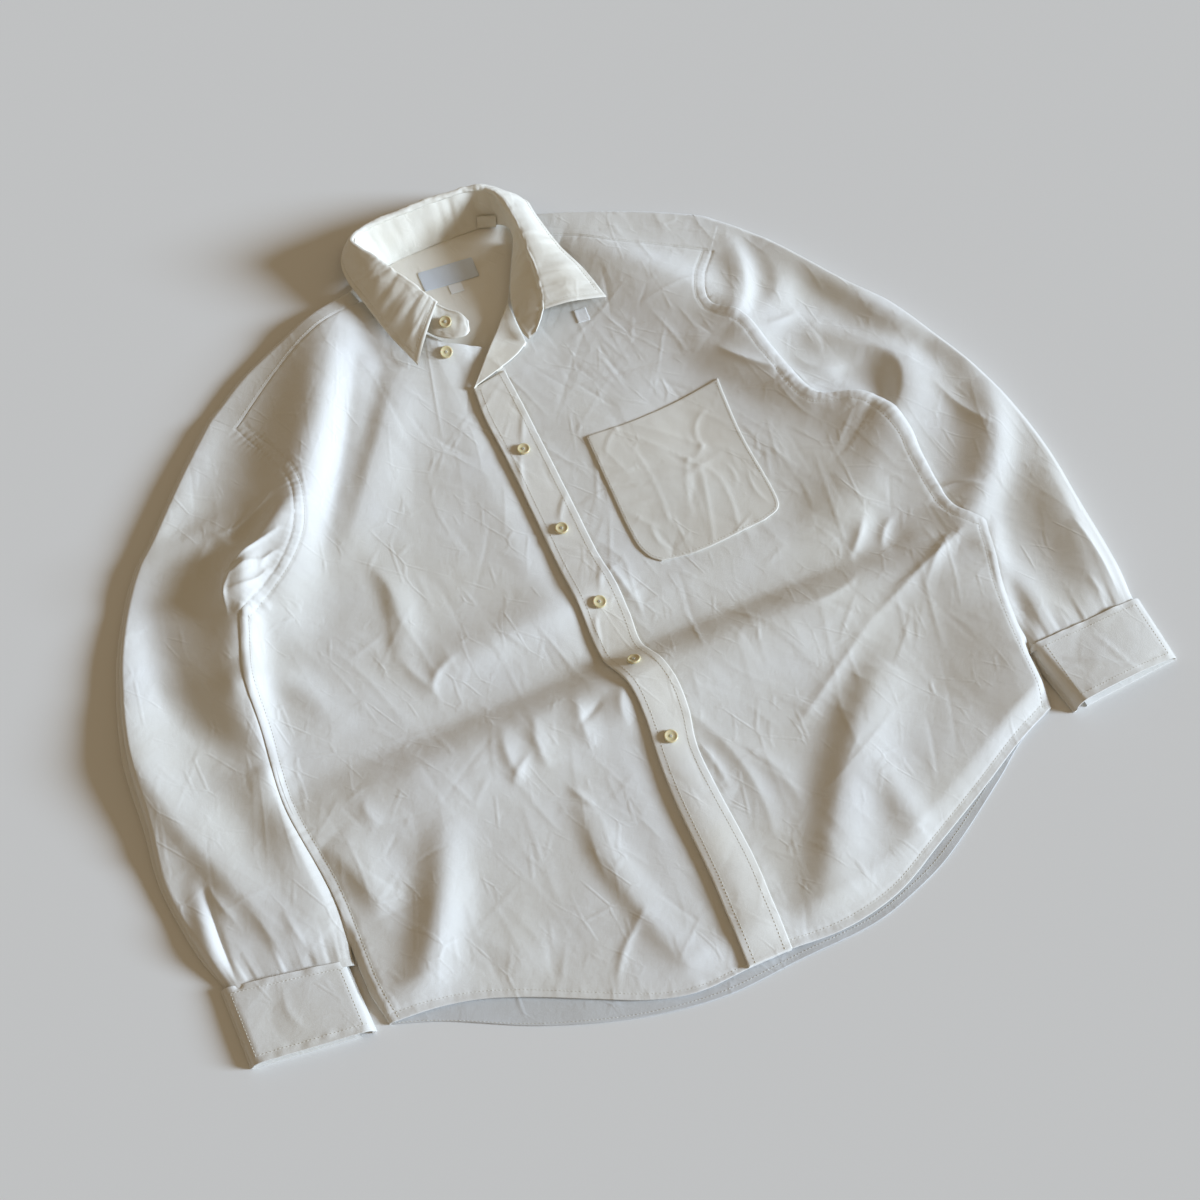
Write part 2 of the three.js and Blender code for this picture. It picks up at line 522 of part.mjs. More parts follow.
const yokeFloor = slab([
  [sideRight.at(-1)[0], sideRight.at(-1)[1] + SEAM],
  ...shares(SHOULDER_STEPS, 0).map(rightFold),
  ...alongCurve(BACK_NECK, NECK_STEPS).slice(1, -1),
  ...shares(SHOULDER_STEPS, 0).map(leftFold),
  [sideLeft.at(-1)[0], sideLeft.at(-1)[1] + SEAM],
], CLOTH, 0);
add('yoke', geometryOf(solid(yokeFloor).add(solid(rightStrip)).add(solid(leftStrip))),
  COLOUR.placket);

// ---------------------------------------------------------------- sleeves and cuffs
const SLEEVE_COLUMNS = 11;
const SLEEVE_ROWS = 22;

// A flattened tube over a plan patch: under(x, y, edge, v) is the underside of its upper layer.
function flatTube(plan, columns, rows, wall, under) {
  return shell(shares(rows, 0.2).map((v) => {
    const width = distance(plan(0, v), plan(1, v));
    const across = shares(columns, 0.8);
    const inset = wall / width;
    const level = (u) => {
      const [x, y] = plan(u, v);
      return { x, y, z: under(x, y, Math.min(u, 1 - u) * width, u, v) };
    };
    const outer = across.map((u) => {
      const { x, y, z } = level(u);
      const steep = steepness((px, py) => under(px, py, SIDE_ROUND, u, v), x, y);
      return [x, y, z + wall * steep];
    });
    const inner = across.map((u) => {
      const { x, y, z } = level(inset + u * (1 - 2 * inset));
      return [x, y, z];
    });
    const back = [...across].reverse();
    return {
      outer: [...outer, ...back.map((u) => [...plan(u, v), 0])],
      inner: [...inner, ...back.map((u) => [...plan(inset + u * (1 - 2 * inset), v), wall])],
    };
  }), true);
}

// Everything that the body covers in plan, grown by a little more than a seam's clearance.
const BODY_GROWTH = 0.45;
const PRISM = { bottom: -10, height: 80 };
function bodyPrism(grow) {
  const outline = [...sideLeft, [LEFT_TIP.x, LEFT_TIP.y],
    ...[...shares(SHOULDER_STEPS, 0).map(leftFold)].reverse().slice(1),
    ...shares(SHOULDER_STEPS, 0).map(rightFold).reverse(),
    ...[...sideRight].reverse(), [HEM_LOW.x, HEM_LOW.y]];
  const grown = outline.map((point, i) => {
    const before = outline.at(i - 1);
    const after = outline[(i + 1) % outline.length];
    const reach = distance(before, after);
    return [point[0] + (grow * (after[1] - before[1])) / reach,
      point[1] - (grow * (after[0] - before[0])) / reach];
  });
  return solid(slab(grown, PRISM.height, PRISM.bottom));
}

const largest = (manifold) => manifold.decompose().reduce(
  (a, b) => (b.volume() > a.volume() ? b : a));
const body = bodyPrism(BODY_GROWTH);
const sleeveZ = (x, y, edge) => LAYER_Z + lie(x, y) * roundEdge(edge, SIDE_ROUND);

function sleeve(head, underarm, share, outer) {
  const inner = chain(curve(head), curve(underarm), share);
  const fold = curve(outer);
  const plan = (u, v) => mix(inner(v), fold(v), u);
  const tube = flatTube(plan, SLEEVE_COLUMNS, SLEEVE_ROWS, CLOTH, sleeveZ);
  return geometryOf(largest(solid(tube).subtract(body)));
}
add('sleeve_right', sleeve(RIGHT_SLEEVE_HEAD, RIGHT_UNDERARM, HEAD_SHARE.right,
  RIGHT_SLEEVE_OUTER), COLOUR.cloth);
add('sleeve_left', sleeve(LEFT_SLEEVE_HEAD, LEFT_UNDERARM, HEAD_SHARE.left, LEFT_SLEEVE_OUTER),
  COLOUR.cloth);

const CUFF_Z = COLLAR_WALL + SEAM;
const CUFF_ROUND = 9;
const CUFF_GRID = { columns: 8, rows: 4 };
function cuff({ seamInner, seamOuter, mouthInner, mouthOuter, inner, outer, mouthRise }) {
  const plan = patch(straight(seamInner, seamOuter), straight(mouthInner, mouthOuter),
    straight(seamInner, mouthInner), straight(seamOuter, mouthOuter));
  const under = (x, y, edge, u, v) => {
    const height = inner + (outer - inner) * u + mouthRise * v * Math.sin(Math.PI * u);
    return CUFF_Z + height * roundEdge(edge, CUFF_ROUND);
  };
  return flatTube(plan, CUFF_GRID.columns, CUFF_GRID.rows, COLLAR_WALL, under);
}
add('cuff_right', cuff(RIGHT_CUFF), COLOUR.cloth);
add('cuff_left', cuff(LEFT_CUFF), COLOUR.cloth);

// ---------------------------------------------------------------- collar
const STAND_ROWS = 34;
const LEAF_ROWS = 28;
const ROLL_LIFT = 2;            // the leaf rolls over the stand's upper edge
const standLine = curve(STAND, ['bx', 'by', 'bz', 'tx', 'ty', 'tz']);
const leafLine = curve(LEAF, ['rx', 'ry', 'rz', 'ex', 'ey', 'ez']);
const standPoint = (t, up) => mix(standLine(t).slice(0, 3), standLine(t).slice(3), up);
const standGrid = shares(STAND_ROWS, 0).map((t) => (
  shares(STAND_STEPS, 0).map((up) => standPoint(t, up))));
add('collar_stand', bentWall(standGrid, COLLAR_WALL), COLOUR.collar);

const leafGrid = shares(LEAF_ROWS, 0).map((t) => {
  const at = leafLine(t);
  return shares(LEAF_STEPS, 0).map((down) => {
    const [x, y, z] = mix(at.slice(0, 3), at.slice(3), down);
    return [x, y, z + ROLL_LIFT + LEAF_BULGE * Math.sin(Math.PI * down)];
  });
});
add('collar_leaf', bentWall(leafGrid, COLLAR_WALL), COLOUR.collar);

// ---------------------------------------------------------------- buttons
const REST_RING = 12;           // radius of the cloth that a button rests on
const REST_POINTS = 8;
const BUTTON_SEAT = 0.5;        // thread between a button and its cloth
function button() {
  const { radius, thick, rim, dish, bevel, waist, sides } = BUTTON;
  const profile = [[0, 0], [radius - bevel, 0], [radius, waist], [radius, thick - bevel],
    [radius - bevel, thick], [radius - rim, thick - dish], [0, thick - dish]];
  const points = profile.map(([x, y]) => new THREE.Vector2(x, y));
  return new THREE.LatheGeometry(points, sides).rotateX(Math.PI / 2);
}

// Seats a button on a surface: place is a point on it and normal points away from it.
function addButton(name, place, normal) {
  const mesh = add(name, button(), COLOUR.button, 0.35);
  mesh.quaternion.setFromUnitVectors(new THREE.Vector3(0, 0, 1), normal);
  mesh.position.copy(place).addScaledVector(normal, BUTTON_SEAT);
  return mesh;
}

function normalAt(x, y) {
  const reach = BUTTON.radius;
  const dx = (upperZ(x + reach, y) - upperZ(x - reach, y)) / (2 * reach);
  const dy = (upperZ(x, y + reach) - upperZ(x, y - reach)) / (2 * reach);
  return new THREE.Vector3(-dx, -dy, 1).normalize();
}
// Height at which a button rests on the highest of the cloth round it.
function restZ(x, y, normal) {
  const around = shares(REST_POINTS, 0).map((t) => [x + REST_RING * Math.cos(2 * Math.PI * t),
    y + REST_RING * Math.sin(2 * Math.PI * t)]);
  const tilt = ([px, py]) => (-normal.x * (px - x) - normal.y * (py - y)) / normal.z;
  return Math.max(...[[x, y], ...around].map((p) => upperZ(...p) - tilt(p)));
}
BUTTONS.forEach(({ x, y, drop }, i) => {
  const normal = normalAt(x, y);
  const z = restZ(x, y, normal) + (LAYER_Z + CLOTH - drop) / normal.z;
  addButton(`button_${i + 1}`, new THREE.Vector3(x, y, z), normal);
});
const topNormal = normalAt(TOP_BUTTON.x, TOP_BUTTON.y);
const topRest = restZ(TOP_BUTTON.x, TOP_BUTTON.y, topNormal);
const topZ = topRest + (CLOTH - TOP_BUTTON.drop) / topNormal.z;
addButton('button_top', new THREE.Vector3(TOP_BUTTON.x, TOP_BUTTON.y, topZ), topNormal);

// The outward normal of the stand's middle surface, and a point that far off it.
function standNormal(t, up) {
  const step = 0.01;
  const at = (a, b) => new THREE.Vector3(...standPoint(a, b));
  const along = at(t + step, up).sub(at(t - step, up));
  return along.cross(at(t, up + step).sub(at(t, up - step))).normalize();
}
const standButtonNormal = standNormal(STAND_BUTTON.along, STAND_BUTTON.up);
if (standButtonNormal.z < 0) standButtonNormal.negate();
const standButton = new THREE.Vector3(...standPoint(STAND_BUTTON.along, STAND_BUTTON.up));
addButton('button_stand', standButton.addScaledVector(standButtonNormal, COLLAR_WALL / 2),
  standButtonNormal);

// ---------------------------------------------------------------- bare label, tag, tab and loop
function flatPatch({ x, y, length, width, thick, turn }, z) {
  const geometry = new THREE.BoxGeometry(length, width, thick);
  return geometry.rotateZ(turn).translate(x, y, z + thick / 2);
}
add('neck_label', flatPatch(LABEL, LAYER_Z), COLOUR.label, 0.6);
add('size_tag', flatPatch(SIZE_TAG, LAYER_Z), COLOUR.tag, 0.6);
const tabPlan = (u, v) => [STAY_TAB.x + STAY_TAB.length * (u - 0.5),
  STAY_TAB.y + STAY_TAB.width * (v - 0.5)];
add('stay_tab', laidOn(tabPlan, { columns: 2, rows: 2 }, CLOTH + SEAM, STAY_TAB.thick),
  COLOUR.collar);

const LOOP_STEPS = 3;
const loopGrid = shares(LOOP_STEPS, 0).map((s) => shares(LOOP_STEPS, 0).map((w) => {
  const t = HANGER_LOOP.from + (HANGER_LOOP.to - HANGER_LOOP.from) * s;
  const up = HANGER_LOOP.low + (HANGER_LOOP.high - HANGER_LOOP.low) * w;
  const normal = standNormal(t, up);
  if (normal.z < 0) normal.negate();
  const off = COLLAR_WALL / 2 + LAY + HANGER_LOOP.thick / 2;
  return new THREE.Vector3(...standPoint(t, up)).addScaledVector(normal, off).toArray();
}));
add('hanger_loop', bentWall(loopGrid, HANGER_LOOP.thick), COLOUR.collar);

export default shirt;
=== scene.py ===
"""A crumpled long-sleeved button-up shirt, laid on its back.

Sizes are in millimetres in the tables and while a surface is worked out, and in metres in the
meshes. "right" and "left" are the wearer's. Heights count from the surface that it lies on.
"""
import math

import bpy
import numpy as np
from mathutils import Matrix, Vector
from mathutils.bvhtree import BVHTree


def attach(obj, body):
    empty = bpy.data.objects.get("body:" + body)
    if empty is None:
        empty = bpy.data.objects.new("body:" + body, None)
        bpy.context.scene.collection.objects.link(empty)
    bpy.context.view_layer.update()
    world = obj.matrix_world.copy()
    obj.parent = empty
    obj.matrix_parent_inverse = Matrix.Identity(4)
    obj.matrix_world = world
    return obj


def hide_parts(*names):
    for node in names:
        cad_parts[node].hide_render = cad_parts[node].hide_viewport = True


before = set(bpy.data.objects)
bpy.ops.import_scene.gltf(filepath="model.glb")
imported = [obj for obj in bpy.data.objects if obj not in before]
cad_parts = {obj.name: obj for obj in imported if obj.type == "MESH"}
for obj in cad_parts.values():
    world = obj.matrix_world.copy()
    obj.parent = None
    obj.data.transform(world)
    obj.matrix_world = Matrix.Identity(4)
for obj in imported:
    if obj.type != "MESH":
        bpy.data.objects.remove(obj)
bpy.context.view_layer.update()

MM = 0.001
DETAIL = 1.0

# ------------------------------------------------------------------ driving dimensions
CLOTH = 1.2             # wall of one layer
COLLAR_WALL = 1.6
SEAM = 0.3
LAYER_Z = CLOTH + SEAM  # underside of a layer that lies on another
LOFT = 6
LEAST_LOFT = 3
LAP = 3.3               # what lies on a front, above the front's own surface
UNDERLAP_DROP = 2.1
SIDE_ROUND = 9
SIDE_SHARE = 0.5        # share of its height that a body side keeps at its very edge
OUTER_ROUND = 5         # the same at the outer folds of sleeves and shoulders
OUTER_SHARE = 0.45
OUTER_INSET = 2.5       # plan room for the roll of such a fold
EDGE = 0.6              # radius of a plain cloth edge
OFF_FLOOR = 0.1         # least height of a rolled edge
HEM_ROUND = 30
HEM_LIE = 0.25
FRONT_LENGTH = 720
TURN = 0.82             # share of a front that lies below its turned-over top
PIT_SHARE = {"right": 0.6, "left": 0.3}
LOW_SHARE = {"right": 0.11, "left": 0.08}      # a front's side rolls down only below its cuff
EDGE_STEP = 0.05
BAND_BLEND = 30
HEM_WIDTH = 6
HEAD_SHARE = {"right": 0.44, "left": 0.68}     # share of a sleeve above its underarm
UNDER_BODY = 1.4        # how far a sleeve lies below the front whose side covers its edge
BODY_REACH = 9          # over which it does so
TUCK = 5                # how far a sleeve runs in under the body's side and under its cuff
NEAR_CUFF = 26          # over which a sleeve comes down to its cuff
FLAT_Z = 0.2            # height of the flat layer that closes a tube
UNDER_COLUMNS = 10      # of points in that layer
CUFF_Z = COLLAR_WALL + SEAM
CUFF_ROUND = 9
CUFF_LENGTH = 65
NECK_LOW = [(-78, 236), (112, 236)]            # as far down as the open neck shows the yoke
ROLL_LIFT = 1.4         # the leaf's fold above its roll line
LEAF_BULGE = 3
GROOVE = 0.4            # how deep a sewn line lies in the cloth
GROOVE_WIDTH = 1.6
ARMHOLE_STITCH = 8.5    # from the seam to its topstitching
PUCKER_PITCH = 6.2
BUTTON_SEAT = 1.6       # a button's middle above the cloth that it rests on
HOLE_RING = 1.25        # from a button's middle to the ends of its thread
THREAD_GAP = 0.72       # from that middle to each of two threads side by side
PATCH_LIFT = 0.7        # a label's upper face above the cloth that it is sewn to
STITCH_PITCH = 3.0
STITCH_LENGTH = 2.1
STITCH_RADIUS = 0.2
FOLD_PARTS = 12         # straight parts that stand for one fold
LATTICE = (97, 89)      # size of the field of random values
TINY = 1e-6
SKY = 0.1               # in metres, above everything


def table(names, rows):
    """Rows of numbers as a dictionary of named columns."""
    return {name: np.array([row[i] for row in rows], float) for i, name in enumerate(names.split())}


RIGHT_SIDE = table("x y", [[-291, -262], [-294, -232], [-291, -150], [-297, -70],
  [-289, 0], [-284, 50], [-268, 98]])
RIGHT_ARMHOLE = table("x y", [[-268, 98], [-245, 115], [-217, 136], [-197, 160],
  [-186, 188], [-184, 210], [-190, 241], [-203, 283]])
LEFT_SIDE = table("x y", [[288, -254], [292, -239], [299, -191], [309, -143], [321, -108],
  [329, -83]])
LEFT_ARMHOLE = table("x y", [[329, -83], [313, -60], [311, -35], [312, 0], [314, 24],
  [305, 60], [293, 76], [259, 95], [249, 152], [244, 190], [224, 219], [236, 250], [258, 277]])
BACK_HEM = table("x y", [[-297, -266], [-260, -281], [-194, -316], [-124, -342], [-60, -354],
  [6, -353], [70, -352], [110, -343], [151, -328], [219, -290], [256, -267], [290, -254]])
RIGHT_FRONT_HEM = table("x y", [[-291, -262], [-254, -267], [-224, -275], [-190, -290],
  [-151, -311], [-111, -332], [-76, -343], [-32.5, -344]])
LEFT_FRONT_HEM = table("x y", [[2, -342], [52, -345], [100, -337], [148, -316],
  [205, -290], [251, -268], [288, -254]])
# The placket's free edge and its sewn edge, from the hem up to where its top turns over.
PLACKET_FREE = table("x y", [[-32.5, -341], [-29, -300], [-25.5, -265], [-21.6, -199],
  [-16.8, -160], [-11, -125], [-10, -97], [-16, -62], [-15.5, -38], [-13, -10], [-11.5, 30],
  [-8.5, 85], [-5, 160], [-4.2, 200], [0, 232]])
PLACKET_SEWN = table("x y", [[2.5, -342], [7, -300], [11, -262], [12.4, -199],
  [15, -162], [23, -132], [26, -105], [23.5, -82], [18, -58], [21.5, -30], [23.3, 0], [22.8, 35],
  [25.3, 83], [28.5, 150], [30.5, 195], [31.5, 238]])
# Above that, the right front runs on to its neckline and the left front rolls open.
BAND_INNER_TOP = table("x y", [[0, 232], [0, 258], [-4, 284]])
BAND_EDGE_TOP = table("x y", [[31.5, 238], [30, 256], [26, 270]])
ROLL_TOP = table("x y", [[0, 232], [20, 254], [45, 281], [66, 306], [84, 338], [101, 369]])
ROLL_INNER_TOP = table("x y", [[31.5, 238], [49, 256], [66, 276], [82, 302], [98, 334],
  [110, 366]])
RIGHT_NECK = table("x y", [[-203, 283], [-158, 318], [-120, 341], [-91, 353], [-50, 364],
  [-34, 350], [-24, 320], [-4, 284]])
LEFT_YOKE_SEAM = table("x y", [[110, 366], [145, 351], [180, 325], [218, 303], [258, 277]])
# Turned-over top of the placket: its rolled edge and its far edge.
TURN_ROLL = table("x y", [[1, 233], [20, 254], [45, 281], [65, 304]])
TURN_FAR = table("x y", [[29, 241.5], [41, 246], [52, 251], [61, 257]])
# Yoke: the fold over each shoulder, and the seam to the front.
RIGHT_SHOULDER = table("x y", [[-222, 306], [-180, 336], [-133, 359], [-96, 374],
  [-58, 384]])
RIGHT_YOKE_SEAM = table("x y", [[-204, 284], [-158, 319], [-120, 342], [-91, 354],
  [-54, 366]])
LEFT_SHOULDER = table("x y", [[122, 394], [138, 391], [173, 377], [223, 353], [271, 324],
  [284, 310]])
LEFT_YOKE_EDGE = table("x y", [[111, 367], [145, 352], [180, 326], [218, 304], [258, 278]])
BACK_NECK = table("x y", [[-58, 384], [-38, 394], [-10, 399], [30, 401], [70, 401],
  [102, 398], [122, 394]])
# Sleeves: the line under the arm, and the outer fold from the shoulder to the cuff.
RIGHT_UNDERARM = table("x y", [[-270, 98], [-286, 50], [-291, 0], [-299, -70],
  [-294, -125], [-296, -165], [-303, -204]])
RIGHT_SLEEVE_OUTER = table("x y", [[-200, 321], [-222, 306], [-247, 281], [-278, 247],
  [-309, 211], [-331, 188], [-356, 148], [-378, 97], [-396, 27], [-402, -37], [-408, -84],
  [-403, -140], [-394, -184]])
LEFT_UNDERARM = table("x y", [[331, -84], [323, -109], [311, -143], [304, -175],
  [303, -203]])
LEFT_SLEEVE_OUTER = table("x y", [[264, 328.5], [284, 310], [309, 278], [330, 241],
  [356, 193], [378, 160], [394, 115], [411, 57], [420, 5], [421, -43], [416, -97], [412, -150],
  [407, -199]])

# ---------------------------------------------------------------- table of the folds
# A fold runs from (x0,y0) by (xm,ym) to (x1,y1). It is h0, hm and h1 high on the way, and falls
# away over the widths left and right of that direction. A trough has a negative height.
FOLDS = table("x0 y0 xm ym x1 y1 left right h0 hm h1", [
    # right front: the ridge from the shoulder along the armhole, and the next one beside it
  [-92, 340, -160, 222, -244, 106, 30, 36, 11, 21, 11],
  [-60, 268, -104, 205, -168, 118, 26, 14, 3, 7, 2],
  [-84, 306, -130, 222, -184, 136, 9, 12, -2, -4, -1],
  [-150, 104, -146, 60, -162, 14, 12, 9, 1, 3, 1],
  [-292, 44, -256, 34, -232, -14, 14, 12, 3, 4, 1],
    # the long ridge across both fronts and the valley above it
  [-285, -94, -10, -90, 262, -98, 24, 44, 3, 9, 7],
  [-270, -50, -10, -54, 245, -60, 26, 15, -2, -4, -3],
  [-150, -12, -64, -2, 30, 2, 22, 16, 1, 4, 2],
    # folds above the hem
  [-190, -130, -219, -194, -262, -252, 17, 17, 1, 8, 4],
  [-280, -112, -266, -150, -262, -186, 20, 11, 1, 5, 1],
  [-86, -165, -90, -230, -72, -315, 16, 10, 1, 4, 2],
  [190, -165, 122, -222, 42, -325, 26, 18, 2, 9, 3],
  [136, -236, 137, -275, 138, -300, 14, 14, 1, 4, 2],
  [-4, -84, -8, -200, -15, -330, 20, 20, 2, 3, 3],
    # left front: shoulder ridge, armhole ridges, the hollow by the pocket and the hump below
  [130, 338, 186, 280, 243, 196, 30, 48, 3, 16, 12],
  [198, 182, 226, 138, 258, 98, 14, 18, 2, 5, 3],
  [150, 140, 174, 62, 190, -15, 30, 34, -2, -4, -1],
  [214, -30, 256, -4, 298, 40, 34, 26, 3, 5, 2],
  [322, -100, 296, -165, 284, -240, 12, 46, 5, 9, 7],
  [-30, 306, -6, 286, 16, 276, 14, 14, 3, 9, 5],
    # right sleeve: outer edge, crease and underarm crumple, long ridges, pleat
  [-226, 292, -286, 230, -336, 178, 17, 10, 2, 4, 2],
  [-346, 158, -384, 60, -398, -60, 26, 9, 3, 7, 4],
  [-236, 192, -262, 196, -330, 180, 14, 12, 1, 3, 1],
  [-188, 182, -230, 158, -272, 120, 12, 10, 2, 6, 4],
  [-250, 140, -280, 60, -299, -30, 14, 36, 10, 14, 7],
  [-334, 140, -338, 60, -306, -24, 16, 20, -3, -5, -4],
  [-390, 50, -372, -60, -334, -165, 28, 15, 3, 8, 5],
  [-301, -40, -303, -96, -300, -165, 8, 22, 4, 6, 3],
  [-384, -100, -390, -148, -388, -186, 7, 8, 1, 4, 3],
    # left sleeve: ridges below the shoulder, the outer one, the hollow, and ridges to the cuff
  [278, 276, 268, 236, 246, 203, 9, 15, 2, 6, 5],
  [303, 262, 298, 222, 274, 196, 18, 12, 2, 4, 2],
  [300, 258, 318, 178, 374, 100, 20, 18, -1, -4, -3],
  [318, 266, 350, 180, 404, 74, 14, 16, 2, 6, 4],
  [298, 140, 347, 100, 320, 48, 26, 12, 4, 9, 5],
  [304, 104, 318, 84, 314, 62, 12, 12, -3, -4, -2],
  [402, 48, 380, -14, 320, -74, 16, 22, 4, 9, 5],
  [408, -48, 396, -110, 388, -188, 13, 26, 2, 8, 5],
  [314, -104, 324, -150, 318, -194, 14, 10, 2, 4, 6],
])
# The ridges of the left front along its armhole, which the sleeve below it doesn't follow.
BODY_FOLDS = table("x0 y0 xm ym x1 y1 left right h0 hm h1", [
  [243, 190, 262, 112, 302, 62, 22, 30, 5, 12, 8],
  [302, 62, 314, 20, 308, -50, 16, 34, 7, 11, 3],
])

# ---------------------------------------------------------------- collar tables
# The stand, from its right front end round the back of the neck to its left front end: the
# line sewn to the neck, and the line on which the leaf rolls over.
STAND = table("bx by bz tx ty tz", [
  [19, 283, 21, 22, 292, 24], [13, 280, 21, 18, 301, 27], [0, 284, 20, 9, 310, 28],
  [-12, 297, 18, -1, 324, 31], [-21, 325, 15, -12, 346, 34], [-27, 358, 12, -25, 374, 36],
  [-30, 384, 8, -38, 404, 38], [-22, 395, 2.4, -32, 417, 38], [10, 400, 2, 10, 422, 38],
  [60, 401, 2, 60, 422, 38], [92, 399, 2.4, 86, 418, 38], [103, 389, 6, 99, 407, 38],
  [101, 368, 11.5, 104, 377, 36], [85, 338, 14, 103, 348, 34], [69, 306, 14.5, 98, 310, 29],
  [63, 282, 15, 91, 281, 26], [62, 264, 15, 82, 267, 24], [64, 256, 15.5, 72, 258, 19],
])
# The leaf: the roll line and its lower edge, from the right point to the left point.
LEAF = table("rx ry rz ex ey ez", [
  [2, 316, 30, -36, 273, 14], [-8, 337, 33, -47, 320, 15], [-20, 362, 36, -52, 352, 17],
  [-30, 385, 38, -56, 386, 16], [-41, 410, 38, -51, 412, 13], [-22, 420, 38, -34, 436, 5],
  [20, 423, 38, 18, 441, 4], [60, 423, 38, 64, 440, 4], [86, 419, 38, 104, 434, 6],
  [101, 405, 38, 127, 404, 15], [105, 374, 36, 127, 374, 23], [103, 342, 33, 132, 336, 20],
  [98, 306, 29, 141, 298, 20], [89, 273, 24, 145, 265, 19],
])
POCKET_LEFT = table("x y", [[68, 3], [61, 11], [57, 28], [61, 87], [66, 142]])
POCKET_RIGHT = table("x y", [[164, 1], [180, 7], [185, 22], [188, 88], [195, 146]])
POCKET_BOTTOM = table("x y", [[68, 3], [101, -2], [164, 1]])
POCKET_TOP = table("x y", [[66, 142], [116, 140], [195, 146]])
RIGHT_CUFF = { "seamInner": [-303.2, -204.35], "seamOuter": [-394, -184.35],
  "mouthInner": [-304, -263], "mouthOuter": [-395, -249], "inner": 5, "outer": 5, "mouthRise": 1 }
LEFT_CUFF = { "seamInner": [298, -202.9], "seamOuter": [407, -199.35],
  "mouthInner": [305, -265], "mouthOuter": [404, -260], "inner": 13, "outer": 3, "mouthRise": 5 }

